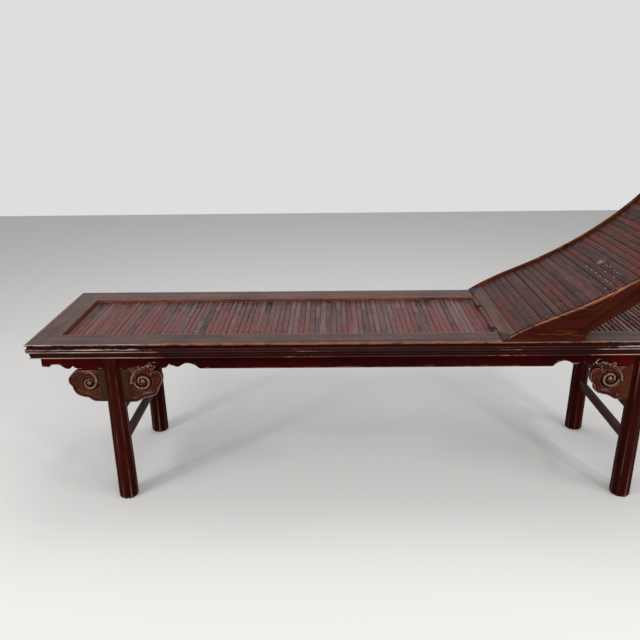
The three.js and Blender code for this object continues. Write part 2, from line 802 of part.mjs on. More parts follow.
// Slats of the back, each let on to two laths that follow the curve
function addBackSlats(back) {
  const run = (slatRunEnd - slatRunStart) * curveLength;
  const count = Math.floor(run / backSlatPitch);
  const pitchShare = run / count / curveLength;
  const reach = boardInner + backGrooveDepth - fitGap;
  const pieces = [];
  for (let i = 0; i < count; i += 1) {
    const share = slatRunStart + (i + 0.5) * pitchShare;
    const place = belowEdge(share, backRecess + backSlatThickness);
    const tangent = curve.getTangentAt(share);
    const slat = extrudeAlongY(slatSection(backSlatWidth, backSlatThickness), -reach, 2 * reach, crownSteps);
    slat.rotateY(-Math.atan2(tangent.y, tangent.x));
    slat.translate(place.x, 0, place.y);
    pieces.push(slat);
  }
  const top = backRecess + backSlatThickness - lathBite;
  for (const [, sign] of sides) {
    const band = curvedBand(slatRunStart, slatRunEnd, top, top + lathDepth, edgeSteps);
    const middle = sign * (boardInner - backLathInset);
    pieces.push(extrudeAlongY(band, middle - lathWidth / 2, lathWidth));
  }
  addPiece('back_slats', joinAll(pieces), bamboo, back);
}

// Rounded rail that closes the back at its crest
function addCrestRail(back) {
  const start = crestRailShare;
  const end = 1 - fitGap / curveLength;
  const round = crestRailDepth / 2;
  const shape = new THREE.Shape();
  const corners = [belowEdge(start, backRecess), belowEdge(start, backRecess + crestRailDepth),
    belowEdge(end, backRecess + crestRailDepth), belowEdge(end, backRecess)];
  const outLow = belowEdge(end - round / curveLength, backRecess + crestRailDepth);
  const outHigh = belowEdge(end - round / curveLength, backRecess);
  const middle = belowEdge(end, backRecess + round);
  shape.moveTo(corners[0].x, corners[0].y);
  shape.lineTo(corners[1].x, corners[1].y);
  shape.lineTo(outLow.x, outLow.y);
  shape.quadraticCurveTo(corners[2].x, corners[2].y, middle.x, middle.y);
  shape.quadraticCurveTo(corners[3].x, corners[3].y, outHigh.x, outHigh.y);
  shape.closePath();
  const reach = boardInner - fitGap;
  addPiece('back_crest_rail', extrudeAlongY(shape, -reach, 2 * reach, 5), wornLacquer, back);
}

// Flat braces between the side boards, under the laths
function addBackBraces(back) {
  const reach = boardInner - fitGap;
  const depth = backRecess + backSlatThickness - lathBite + lathDepth + fitGap;
  for (const [name, share] of Object.entries(backBraceShares)) {
    const tangent = curve.getTangentAt(share);
    const middle = belowEdge(share, depth + backBraceDepth / 2);
    const brace = block(backBraceWidth, 2 * reach, backBraceDepth, 0, 0, 0);
    brace.rotateY(-Math.atan2(tangent.y, tangent.x));
    brace.translate(middle.x, 0, middle.y);
    addPiece(name, brace, bareWood, back);
  }
}

const knuckleLength = hingeLength / 3;

// Tube about the Y axis with a bore for the pin
function knuckle(middleY, length) {
  const shape = new THREE.Shape();
  const hole = new THREE.Path();
  shape.absarc(0, 0, knuckleRadius, 0, 2 * Math.PI, false);
  hole.absarc(0, 0, pinRadius + pinGap, 0, 2 * Math.PI, true);
  shape.holes.push(hole);
  return extrudeAlongY(shape, middleY - length / 2, length, knuckleFacets);
}

// Plate of a hinge leaf beside the axis, above it for the moving leaf and below it for the fixed one
function leafPlate(middleY, length, up) {
  const bore = pinRadius + pinGap + fitGap;
  const width = leafWidth + knuckleRadius - bore;
  const height = up * (leafPart + leafThickness / 2);
  return block(width, length, leafThickness, bore + width / 2, middleY, height);
}

// Leaf that is screwed under the bottom rail, with the middle knuckle
function addMovingLeaves(back) {
  const clear = knuckleRadius + 2 * fitGap;
  for (const [side, sign] of sides) {
    const middle = sign * hingeOffset;
    const length = knuckleLength - knuckleGap;
    const tongue = leafPlate(middle, length, 1);
    const width = leafWidth + knuckleRadius - clear;
    const plate = block(width, hingeLength, leafThickness, clear + width / 2, middle,
      leafPart + leafThickness / 2);
    addPiece(`${side}_hinge_moving_leaf`, joinAll([knuckle(middle, length), tongue, plate]), iron, back);
  }
}

// Leaf that is screwed to the hinge rail, with the outer knuckles, and the pin through all three
function addFixedHinges() {
  const clear = knuckleRadius + 2 * fitGap;
  for (const [side, sign] of sides) {
    const middle = sign * hingeOffset;
    const length = knuckleLength - knuckleGap / 2;
    const offset = (hingeLength - length) / 2;
    const pieces = [-1, 1].flatMap((way) => [
      knuckle(middle + way * offset, length),
      leafPlate(middle + way * offset, length, -1),
    ]);
    const width = leafWidth + knuckleRadius - clear;
    pieces.push(block(width, hingeLength, leafThickness, clear + width / 2, middle,
      -leafPart - leafThickness / 2));
    addPiece(`${side}_hinge_fixed_leaf`, joinAll(pieces), iron).position.set(hingeX, 0, hingeZ);
    const pin = new THREE.CylinderGeometry(pinRadius, pinRadius, hingeLength, knuckleFacets);
    addPiece(`${side}_hinge_pin`, pin, iron).position.set(hingeX, middle, hingeZ);
  }
}

addRails();
addDeck();
addAprons();
addSpandrels();
addLegs();
addStretchers();
addBack();
addFixedHinges();

export default recliner;
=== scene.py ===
"""Dresses a long lacquered bench with a curved, slatted back that folds down over the seat.

Lengths are in metres, +Z is up, X runs from the foot end to the head end, and -Y is the front.
"""

import json
import math

import bpy
import numpy as np
from bpy.props import FloatProperty, FloatVectorProperty, IntProperty, PointerProperty
from mathutils import Matrix, Vector


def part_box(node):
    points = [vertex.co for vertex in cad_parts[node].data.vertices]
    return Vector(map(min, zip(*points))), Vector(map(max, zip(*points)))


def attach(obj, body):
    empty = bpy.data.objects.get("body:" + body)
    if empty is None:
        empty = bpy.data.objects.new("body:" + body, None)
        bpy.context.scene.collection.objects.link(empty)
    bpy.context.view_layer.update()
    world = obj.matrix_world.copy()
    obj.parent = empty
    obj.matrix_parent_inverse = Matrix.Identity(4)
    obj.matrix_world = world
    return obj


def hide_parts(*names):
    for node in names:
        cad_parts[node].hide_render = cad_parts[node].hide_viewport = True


bl_info = {
    "name": "Slatted Day Bench",
    "version": (1, 0, 0),
    "blender": (4, 5, 0),
    "location": "View3D > Sidebar > Day Bench",
    "description": "Builds the carved, slatted and lacquered pieces of a folding day bench",
    "category": "Object",
}

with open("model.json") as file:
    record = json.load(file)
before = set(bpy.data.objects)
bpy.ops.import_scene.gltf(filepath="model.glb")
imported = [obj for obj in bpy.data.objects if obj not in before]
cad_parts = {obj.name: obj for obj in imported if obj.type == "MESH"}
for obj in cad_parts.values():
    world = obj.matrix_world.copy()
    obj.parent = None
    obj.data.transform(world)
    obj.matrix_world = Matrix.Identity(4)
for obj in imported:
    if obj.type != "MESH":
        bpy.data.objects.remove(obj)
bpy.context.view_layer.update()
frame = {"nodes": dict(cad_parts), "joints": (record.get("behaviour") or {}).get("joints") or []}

# Places read from the frame
rail_low, rail_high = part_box("front_rail")
seat_low, seat_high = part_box("seat_slats")
head_low, head_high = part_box("head_slats")
apron_low, apron_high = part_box("front_apron")
leg_low, leg_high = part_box("head_front_leg")
hinge = Vector(frame["joints"][0]["pos_m"])
seat_height = rail_high.z
half_length = -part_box("foot_end_rail")[0].x
half_width = -rail_low.y
panel_half_width = -rail_high.y
apron_front = apron_low.y
apron_edge = apron_low.z
apron_half_length = -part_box("foot_end_apron")[0].x
leg_top = leg_high.z
bottom_rail_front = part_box("back_bottom_rail")[0].x - hinge.x

ENDS = {"foot": -1, "head": 1}
SIDES = {"front": -1, "rear": 1}

# The moulded edge of a rail: shares of the mould inset, and of the rail's depth downwards
EDGE_SHARES = (
    (0.28, 0.0), (0.1, 0.012), (0.0, 0.05), (0.06, 0.095), (0.27, 0.122), (0.51, 0.16), (0.58, 0.22),
    (0.47, 0.28), (0.22, 0.32), (0.09, 0.365), (0.06, 0.415), (0.15, 0.455), (0.24, 0.485), (0.15, 0.515),
    (0.1, 0.555), (0.18, 0.605), (0.4, 0.635), (0.69, 0.68), (0.85, 0.75), (0.89, 0.81), (0.82, 0.84),
    (0.93, 0.885), (1.04, 0.95), (1.0, 0.985), (0.84, 1.005), (0.76, 1.035), (0.82, 1.068), (1.05, 1.075),
    (1.3, 1.05), (1.5, 1.0),
)

# Lower edge of an apron's overhang: distance as a share of the way from the mitre's inner
# corner to the last cusp, depth as a share of the apron's depth; each row is one lobe
OVERHANG_SHARES = (
    ((0, 0.82), (0.04, 0.84), (0.08, 0.79), (0.11, 0.7)),
    (
        (0.11, 0.7), (0.19, 0.68), (0.29, 0.675), (0.4, 0.72), (0.47, 0.82), (0.58, 0.95), (0.7, 0.955),
        (0.8, 0.77),
    ),
    ((0.8, 0.77), (0.85, 0.87), (0.92, 0.95), (1, 1)),
)

# Lower edge beyond the inner spandrel, from the root of the leaf to the straight part
APRON_SHARES = (
    ((0, 1), (0.09, 0.85), (0.19, 0.7), (0.28, 0.61), (0.34, 0.61)),
    ((0.34, 0.61), (0.36, 0.8), (0.4, 0.95), (0.48, 0.92), (0.51, 0.82), (0.545, 0.67)),
    ((0.545, 0.67), (0.56, 0.76), (0.6, 0.79), (0.64, 0.865), (0.68, 0.86), (0.71, 0.8)),
    ((0.71, 0.8), (0.74, 0.72), (0.79, 0.65), (0.85, 0.65), (0.91, 0.74), (0.95, 0.83), (0.98, 0.94), (1, 1)),
)

# Outlines of the spandrels from the head round to the leg: distance from the leg's axis as a
# share of the reach, drop as a share of the depth; each row is one lobe
INNER_HEAD_SHARES = (
    ((0.775, 0.11), (0.84, 0.055), (0.93, 0.06), (0.99, 0.16), (1, 0.31), (0.965, 0.46), (0.895, 0.58)),
    ((0.895, 0.58), (0.875, 0.71), (0.8, 0.8), (0.7, 0.845)),
    ((0.7, 0.845), (0.62, 0.865), (0.53, 0.92)),
    ((0.53, 0.92), (0.45, 0.985), (0.35, 1), (0.2, 1)),
)
OUTER_HEAD_SHARES = (
    ((0.66, 0.02), (0.77, 0.06), (0.88, 0.19), (0.925, 0.31), (0.91, 0.43), (0.865, 0.51)),
    ((0.865, 0.51), (0.84, 0.64), (0.77, 0.77), (0.63, 0.845)),
    ((0.63, 0.845), (0.57, 0.85), (0.52, 0.9)),
    ((0.52, 0.9), (0.44, 0.965), (0.35, 0.975), (0.2, 0.975)),
)

# Middle lines of the carved leaf and of the plain hook, in the same shares, from the ball at
# the leg's side up to the tip, and their half widths as shares of the widest
LEAF_SHARES = (
    (0.356, 0.41), (0.37, 0.28), (0.418, 0.17), (0.485, 0.08), (0.56, 0.01), (0.645, -0.045), (0.73, -0.085),
    (0.8, -0.11),
)
LEAF_WIDTH_SHARES = (0.5, 0.62, 0.8, 0.95, 1.0, 1.0, 0.85, 0.5)
LEAF_TIP_SHARE = 0.82
HOOK_SHARES = ((0.354, 0.37), (0.354, 0.29), (0.391, 0.17), (0.45, 0.08), (0.52, 0.04), (0.593, 0.045))
HOOK_WIDTH_SHARES = (0.5, 0.55, 0.6, 0.55, 0.45, 0.4)


def metres(name, description, default):
    """A length property."""
    return FloatProperty(name=name, description=description, default=default, unit="LENGTH")


def degrees(name, description, default):
    """An angle property, with its default given in degrees."""
    return FloatProperty(name=name, description=description, default=math.radians(default), unit="ROTATION")


def unitless(name, description, default):
    """A property without a unit."""
    return FloatProperty(name=name, description=description, default=default)


def colour(name, description, red, green, blue):
    """A colour property, from red, green and blue as they are seen on a screen, 0 to 255."""
    linear = [((c / 255 + 0.055) / 1.055) ** 2.4 if c > 10 else c / 255 / 12.92 for c in (red, green, blue)]
    return FloatVectorProperty(
        name=name, description=description, default=(*linear, 1.0), size=4, subtype="COLOR", min=0.0, max=1.0
    )


def darker(name, red, green, blue):
    """The darker colour of a finish, in its grain and clouds."""
    return colour(name + " shade", "Darker parts of this finish", red, green, blue)


class BenchSizes(bpy.types.PropertyGroup):
    """Sizes of the visible pieces."""

    joint_gap: metres("Joint gap", "Space between fitted pieces", 0.0003)
    mould_inset: metres("Mould inset", "How far the foot of the rails' moulding stands back", 0.009)
    edge_round: metres("Edge rounding", "Radius of worn arrises", 0.0016)
    unevenness: metres("Unevenness", "How far hand-planed faces wander", 0.0004)
    slat_pitch: metres("Slat pitch", "Spacing of the seat's slats", 0.0155)
    slat_width: metres("Slat width", "Width of a seat slat", 0.0152)
    head_slat_width: metres("Head slat width", "Width of a slat under the back", 0.0108)
    slat_thickness: metres("Slat thickness", "Thickness of a slat", 0.006)
    back_pitch: metres("Back slat pitch", "Spacing of the back's slats", 0.0186)
    back_slat_width: metres("Back slat width", "Width of a slat of the back", 0.0184)
    pin_radius: metres("Pin radius", "Radius of a pin", 0.0018)
    pin_height: metres("Pin height", "Height over the slats", 0.0007)
    groove_depth: metres("Slat groove", "Groove for the slats' ends", 0.008)
    lath_width: metres("Lath width", "Width of a lath", 0.026)
    lath_inset: metres("Lath inset", "From a side board to a lath's middle", 0.106)
    lath_depth: metres("Lath depth", "Depth of a lath", 0.008)
    apron_inset: metres("Apron inset", "From a rail's outer edge to the apron's face", 0.027)
    apron_thickness: metres("Apron thickness", "Thickness of aprons and spandrels", 0.014)
    overhang_reach: metres("Overhang reach", "From the bench's end to the overhang's last cusp", 0.128)
    leaf_start: metres("Leaf start", "From a leg's axis to the root of the carved leaf", 0.061)
    lobe_reach: metres("Lobe reach", "From a leg's axis to the apron's straight part", 0.24)
    spandrel_reach: metres("Spandrel reach", "From a leg's axis to a spandrel's head", 0.135)
    spandrel_drop: metres("Spandrel drop", "Depth of a spandrel below the apron", 0.1)
    leaf_half_width: metres("Leaf width", "Half of the leaf's widest part", 0.0058)
    volute_out: metres("Volute out", "From a leg's axis to an inner scroll's middle", 0.079)
    volute_drop: metres("Volute drop", "From the apron's edge to an inner scroll's middle", 0.038)
    volute_radius: metres("Volute radius", "Outer radius of an inner scroll", 0.033)
    outer_volute_share: unitless("Outer volute", "Outer scroll as a share of an inner one", 0.84)
    volute_eye: metres("Volute eye", "Radius of the scroll's eye", 0.0068)
    volute_turns: unitless("Volute turns", "Turns of the scroll", 2.0)
    carve_depth: metres("Carving depth", "Depth of the scroll's grooves", 0.0078)
    carve_step: metres("Carving step", "Spacing of the carved surface's points", 0.0008)
    reed_count: IntProperty(name="Reeds", description="Reeds round a leg", default=8)
    reed_turn: degrees("Reed turn", "Turn of the reeds about a leg", 10)
    reed_depth: metres("Reed depth", "Depth of the grooves between reeds", 0.0024)
    leg_top_radius: metres("Leg top radius", "Radius at the top", 0.0226)
    leg_foot_radius: metres("Leg foot radius", "Radius at the floor", 0.0274)
    leg_splay: metres("Leg splay", "How far a foot stands out past its top", 0.001)
    foot_round: metres("Foot rounding", "Radius of the foot's edge", 0.005)
    stretcher_round: metres("Stretcher rounding", "Radius of their edges", 0.0062)
    board_thickness: metres("Side board thickness", "Thickness of a side board", 0.013)
    back_recess: metres("Back recess", "Depth of the back's slats below its boards", 0.008)
    bottom_rail_width: metres("Bottom rail width", "Width of the bottom rail", 0.038)
    bottom_rail_nose: metres("Bottom rail nose", "Thickness of its front edge", 0.0026)
    bottom_rail_bow: metres("Bottom rail bow", "How far its front edge curves in", 0.005)
    mitre_run: metres("Mitre run", "Length of the mitre along the side board", 0.03)
    crest_rail_width: metres("Crest rail width", "Width of the crest rail", 0.046)
    crest_rail_depth: metres("Crest rail depth", "Depth of the crest rail", 0.024)


class BackCurve(bpy.types.PropertyGroup):
    """Shape of the side boards' hollow upper edge, from the hinge's axis."""

    tip_start: metres("Tip start", "Sharp front end, from the axis", 0.0012)
    tip_run: metres("Low run", "Run of the low part", 0.143)
    tip_rise: metres("Low rise", "Rise of the low part", 0.073)
    run: metres("Run", "Run of the upper end", 0.572)
    rise: metres("Rise", "Rise of the upper end", 0.382)
    tip_slope: degrees("Tip slope", "Slope at the tip", 35)
    low_slope: degrees("Low slope", "Slope of the low part", 22.5)
    crest_slope: degrees("Crest slope", "Slope at the crest", 54.5)
    waist_slope: degrees("Waist slope", "Slope at the waist", 35)
    tip_handle: metres("Tip handle", "Pull of the low curve's ends", 0.05)
    low_handle: metres("Low handle", "Pull at the low part", 0.225)
    crest_handle: metres("Crest handle", "Pull at the crest", 0.135)
    foot_length: metres("Foot length", "Length of the flat foot", 0.217)
    heel_stand: metres("Heel stand", "Straight part of the heel", 0.007)
    heel_handle: metres("Heel handle", "Pull at the heel", 0.022)
    waist_handle: metres("Waist handle", "Pull at the waist", 0.08)
    waist_share: unitless("Waist place", "Waist's place as a share of the edge", 0.5)
    waist_depth: metres("Waist depth", "Depth of the board at its waist", 0.06)
    crest_depth: metres("Crest depth", "Depth of the board at its upper end", 0.042)
    crest_round: metres("Crest rounding", "Radius of the upper corners", 0.012)


class BenchColours(bpy.types.PropertyGroup):
    """Colours of the finishes."""

    # The rails' colour is lighter and greyer than their lacquer: a painted sheen for the tops
    rail: colour("Rail", "Lacquer of the rails", 106, 79, 75)
    rail_dark: darker("Rail", 51, 39, 41)
    worn: colour("Worn wood", "Wood where lacquer is rubbed off", 156, 86, 32)
    mould: colour("Moulding", "Lacquer of the moulded edge", 54, 8, 5)
    mould_dark: darker("Moulding", 32, 4, 3)
    # Pale: painted highlights on the rails' beads; on the side boards' upper arris, rubbed wood with a
    # painted highlight
    pale: colour("Pale wear", "Wood rubbed pale on beads and edges", 206, 184, 170)
    # Near-black colour in grooves and hollows: old dirt, and painted shade in the deep ones
    groove: colour("Grooves", "Old dirt in the grooves", 13, 6, 5)
    slat: colour("Slat", "Bamboo lacquer", 112, 84, 82)
    slat_dark: darker("Slat", 44, 27, 27)
    slat_red: colour("Slat red", "Redder slats", 106, 48, 43)
    # Slats under the back, far lighter than the seat's: painted light and glints on a deck in the back's
    # shade
    head_slat: colour("Head slat", "Bamboo lacquer under the back", 198, 160, 150)
    head_slat_dark: darker("Head slat", 54, 20, 18)
    head_slat_red: colour("Head slat red", "Redder slats under the back", 120, 40, 30)
    back_slat: colour("Back slat", "Bamboo lacquer of the back", 88, 56, 50)
    back_slat_dark: darker("Back slat", 42, 25, 24)
    back_slat_red: colour("Back slat red", "Redder slats of the back", 96, 36, 26)
    # Pale colour of the slats' lit shoulders, a painted highlight, and of rubbed edges, nodes and the knot's
    # rings
    slat_highlight_and_wear: colour("Slat rubbed", "Slats' skin, rubbed pale", 190, 154, 140)
    apron: colour("Apron", "Oxblood lacquer of the aprons", 56, 6, 5)
    # Lighter, redder colour towards the aprons' ends: painted light
    apron_painted_lit_end: colour("Apron end", "Redder lacquer of the aprons' ends", 104, 12, 12)
    apron_dark: darker("Apron", 26, 5, 5)
    leg: colour("Leg", "Lacquer of legs and stretchers", 66, 15, 7)
    leg_dark: darker("Leg", 24, 5, 4)
    # Colour of the painted highlights along the reeds' crowns, and of rubbed wood on the feet and the
    # stretchers' edges
    leg_highlight_and_wear: colour("Rubbed leg", "Crowns of the reeds", 128, 98, 90)
    # Lighter colour of the stretchers' upper faces: a painted sheen
    leg_top: colour("Stretcher top", "Upper faces of the stretchers", 92, 76, 78)
    carving: colour("Carving", "Lacquer of the carved pieces", 98, 38, 18)
    carving_dark: darker("Carving", 34, 12, 7)
    carving_plain: colour("Carving's plain part", "Plain part of the carving beside the leg", 70, 40, 17)
    # Pale colour of the carvings' raised parts, rubbed wood with a painted highlight, and of the painted
    # glints along the aprons' lower edges
    rubbed: colour("Rubbed carving", "High spots of the carved pieces", 152, 130, 113)
    board: colour("Side board", "Thin warm lacquer of the side boards", 72, 24, 10)
    board_dark: darker("Side board", 26, 7, 4)
    board_inner: colour("Side board inside", "Inner faces of the side boards", 104, 58, 32)
    crossbar: colour("Crossbar", "Brown lacquer of the back's rails", 112, 77, 62)
    crossbar_dark: darker("Crossbar", 42, 29, 30)
    crossbar_end: colour("Crossbar end", "Mitred ends of the bottom rail", 44, 30, 33)
    hidden: colour("Hidden wood", "Stained wood underneath", 52, 34, 26)
    hidden_dark: darker("Hidden wood", 32, 21, 18)
    stained: colour("Hinge rail", "Stained rail in front of the hinges", 122, 88, 82)
    stained_dark: darker("Hinge rail", 74, 46, 43)
    iron: colour("Iron", "Blackened iron under old lacquer", 84, 54, 50)
    rust: colour("Rust", "Brown bloom on the iron", 96, 52, 40)
    dust: colour("Dust", "Dust and old polish in the hollows", 104, 84, 68)
    # Pale pin heads: partly metal, partly a painted glint
    pin: colour("Pin", "Heads of the pins", 206, 192, 180)


class Pile:
    """Surfaces gathered into one mesh: points, faces by their number of corners, and values on the points."""

    def __init__(self):
        self.points = []
        self.faces = []
        self.values = []
        self.count = 0

    def add(self, points, faces, **values):
        """Adds points (n, 3) and a list of face arrays (m, corners) that index them, turned outwards."""
        points = np.asarray(points, float).reshape(-1, 3)
        volume = sum(signed_volume(points, group) for group in faces)
        for group in faces:
            self.faces.append((group if volume > 0 else group[:, ::-1]) + self.count)
        self.points.append(points)
        filled = {key: np.broadcast_to(v, points.shape[:1] + np.shape(v)[1:]) for key, v in values.items()}
        self.values.append((len(points), filled))
        self.count += len(points)


def signed_volume(points, faces):
    """Six times the volume under a group of faces: the sum of the box products of their fan triangles."""
    first = points[faces[:, 0]]
    total = 0.0
    for k in range(1, faces.shape[1] - 1):
        total += np.einsum("ij,ij->", first, np.cross(points[faces[:, k]], points[faces[:, k + 1]]))
    return total


SHARP_ANGLE = math.radians(38)


def make_mesh(name, pile):
    """Makes a mesh of a pile, smooth but for sharp edges, with its values as attributes of the points."""
    mesh = bpy.data.meshes.new(name)
    points = np.concatenate(pile.points)
    mesh.vertices.add(len(points))
    mesh.vertices.foreach_set("co", points.astype(np.float32).ravel())
    corners = np.concatenate([group.ravel() for group in pile.faces])
    counts = np.concatenate([np.full(len(group), group.shape[1]) for group in pile.faces])
    mesh.loops.add(len(corners))
    mesh.loops.foreach_set("vertex_index", corners.astype(np.int32))
    mesh.polygons.add(len(counts))
    mesh.polygons.foreach_set("loop_start", (np.cumsum(counts) - counts).astype(np.int32))
    mesh.update(calc_edges=True)
    mesh.validate()
    mesh.polygons.foreach_set("use_smooth", np.ones(len(mesh.polygons), bool))
    mesh.set_sharp_from_angle(angle=SHARP_ANGLE)
    for key in ("wear", "tone", "hue", "dirt", "grain"):
        kind, field, size = ("FLOAT_VECTOR", "vector", 3) if key == "grain" else ("FLOAT", "value", 1)
        attribute = mesh.attributes.new(key, kind, "POINT")
        data = [np.ravel(values.get(key, np.zeros(count * size))) for count, values in pile.values]
        attribute.data.foreach_set(field, np.concatenate(data).astype(np.float32))
    return mesh


def pile_of(builder, *details):
    """A new pile, filled by a builder function."""
    pile = Pile()
    builder(pile, *details)
    return pile


def make_piece(name, pile, material, body, replaced=()):
    """Puts a pile into the scene as a piece that rides on a body and stands for CAD nodes."""
    piece = bpy.data.objects.new(name, make_mesh(name, pile))
    bpy.context.scene.collection.objects.link(piece)
    piece.data.materials.append(material)
    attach(piece, body)
    if replaced:
        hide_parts(*replaced)


def add_tubes(pile, rings, **values):
    """Adds closed tubes: rings[t, r, c] is corner c of ring r of tube t, or rings[r, c] for one tube.
    Flat faces close both ends."""
    rings = np.asarray(rings, float)
    if rings.ndim == 3:
        rings = rings[None]
        values = {key: np.asarray(value)[None] for key, value in values.items()}
    tubes, rows, around = rings.shape[:3]
    base = (np.arange(tubes) * rows * around)[:, None, None]
    ring = base + (np.arange(rows - 1) * around)[None, :, None]
    column = np.arange(around)[None, None, :]
    after = (column + 1) % around
    quads = np.stack([ring + column, ring + after, ring + around + after, ring + around + column], -1)
    start = base[:, 0] + np.arange(around)[::-1]
    end = base[:, 0] + (rows - 1) * around + np.arange(around)
    flat = {}
    for key, value in values.items():
        extra = np.shape(value)[3:]
        flat[key] = np.broadcast_to(value, rings.shape[:3] + extra).reshape((-1,) + extra)
    pile.add(rings.reshape(-1, 3), [quads.reshape(-1, 4), start, end], **flat)


def stacked(*parts):
    """Arrays spread to one shape and stacked as the last dimension."""
    return np.stack(np.broadcast_arrays(*parts), -1)


def quarter_turned(points, quarters):
    """Points turned about Z by a number of quarter turns."""
    return points @ np.array(Matrix.Rotation(quarters * math.pi / 2, 3, "Z")).T


def bell(distance, reach):
    """1 at a distance of 0, falling off on both sides as a bell curve."""
    return np.exp(-((distance / reach) ** 2))


def catmull_rom(points, steps):
    """Curve through points: each stretch is the cubic whose end slopes are half the step between the
    neighbours, with the end points repeated. Returns (n, dimensions), the points themselves included."""
    points = np.asarray(points, float)
    padded = np.vstack([points[:1], points, points[-1:]])
    t = np.linspace(0, 1, steps, endpoint=False)[None, :, None]
    a, b, c, d = (padded[k : k + len(points) - 1][:, None, :] for k in range(4))
    curve = 0.5 * (2 * b + (c - a) * t + (2 * a - 5 * b + 4 * c - d) * t**2 + (3 * b - a - 3 * c + d) * t**3)
    return np.vstack([curve.reshape(-1, points.shape[1]), points[-1:]])


def lobed(rows, steps):
    """Joins rows of points, each one a smooth lobe, into one line with cusps."""
    parts = [catmull_rom(row, steps)[:-1] for row in rows]
    return np.vstack([*parts, np.asarray(rows[-1][-1:], float)])


def bezier(start, start_pull, end_pull, end, steps):
    """Cubic Bezier curve: the four points weighted by the terms of (1 - t + t) cubed."""
    t = np.linspace(0, 1, steps)[:, None]
    a, b, c, d = (np.asarray(p, float) for p in (start, start_pull, end_pull, end))
    return (1 - t) ** 3 * a + 3 * t * (1 - t) ** 2 * b + 3 * t**2 * (1 - t) * c + t**3 * d


def wander(x, seed, longest=0.7, waves=6):
    """Sum of sine waves, each about half as long and two thirds as high as the last; about -1 to 1."""
    draw = np.random.default_rng(seed)
    total = np.zeros(np.shape(x))
    for k in range(waves):
        total += np.sin(2 * np.pi * (x * 1.9**k / longest + draw.random())) / 1.5**k
    return total / 2


def smooth_step(low, high, x):
    """0 below low, 1 above high, and between them the cubic with level ends; falls where high < low."""
    t = np.clip((x - low) / (high - low), 0, 1)
    return t * t * (3 - 2 * t)


def turning(ring, reach):
    """How sharply a closed outline turns at each point, averaged over a reach: positive where it is
    convex. The turn is the sine between the chords before and after the point, per length."""
    ring = np.asarray(ring, float)
    before, after = ring - np.roll(ring, 1, 0), np.roll(ring, -1, 0) - ring
    size = np.maximum(np.linalg.norm(before, axis=1) * np.linalg.norm(after, axis=1), 1e-12)
    turn = (before[:, 0] * after[:, 1] - before[:, 1] * after[:, 0]) / size
    area = np.sum(ring[:, 0] * np.roll(ring[:, 1], -1) - np.roll(ring[:, 0], -1) * ring[:, 1])
    gap = np.linalg.norm(ring[:, None] - ring[None], axis=2)
    return bell(gap, reach) @ (turn * np.sign(area))


def rounded_rectangle(width, height, radius, steps=4, across=1, up=1):
    """Corners of a rectangle with its middle at the origin, each turned into a quarter circle, with
    across and up stretches on its long and short sides."""
    half = np.array([width / 2 - radius, height / 2 - radius])
    angles = np.linspace(0, np.pi / 2, steps)
    arcs = []
    for k, corner in enumerate(((1, -1), (1, 1), (-1, 1), (-1, -1))):
        turn = angles + (k - 1) * np.pi / 2
        arcs.append(corner * half + radius * stacked(np.cos(turn), np.sin(turn)))
    points = []
    for k, arc in enumerate(arcs):
        shares = np.linspace(0, 1, (across if k % 2 else up) + 1)[1:-1, None]
        points += [arc, arc[-1] + (arcs[(k + 1) % 4][0] - arc[-1]) * shares]
    return np.vstack(points)


def rail_profile(sizes):
    """Section of a seat rail as (inset, height above its top): the moulded outer edge, the underside,
    the inner wall with the slats' groove, the rounded inner arris and the top."""
    width, depth = rail_high.y - rail_low.y, rail_high.z - rail_low.z
    edge = catmull_rom(EDGE_SHARES, 5) * (sizes.mould_inset, -depth)
    groove_top = seat_high.z - seat_height + sizes.joint_gap
    groove_bottom = groove_top - sizes.slat_thickness - 2 * sizes.joint_gap
    inner = width - sizes.groove_depth
    radius = sizes.edge_round
    turn = np.linspace(0, np.pi / 2, 5)
    arris = stacked(width - radius + radius * np.cos(turn), -radius + radius * np.sin(turn))
    wall = [
        (width, -depth), (width, groove_bottom), (inner, groove_bottom),
        (inner, groove_top), (width, groove_top),
    ]
    wall_steps = stacked(width, np.linspace(groove_top, -radius, 5)[1:-1])
    top = stacked(np.linspace(width - radius, edge[0, 0], 14)[1:-1], 0.0)
    return np.vstack([edge, wall, wall_steps, arris, top])


# A rail: spacing of its sections, reach over which a bend is averaged, and where its parts fade
# in and out: heights from its top, insets from its edge and shares of its half length
RAIL_STEP = 0.006
BEND_REACH = 0.0016
SIDE_FADE = (-0.0002, -0.0015)
BEAD_FADE = (-0.009, -0.005)
LOWER_COVE_FADES = ((-0.0285, -0.0305), (-0.0395, -0.0375))
WALL_FADE = (-0.012, -0.004)
ARRIS_INSET_FADE = (0.0125, 0.0078)
ARRIS_DROP_FADE = (-0.0075, -0.0055)
TOP_FADE = (-0.003, 0.0)
# Shares of the half length over which the beads turn pale towards the ends: a painted highlight
PAINTED_HIGHLIGHT_END_SHARES = (0.56, 0.73)


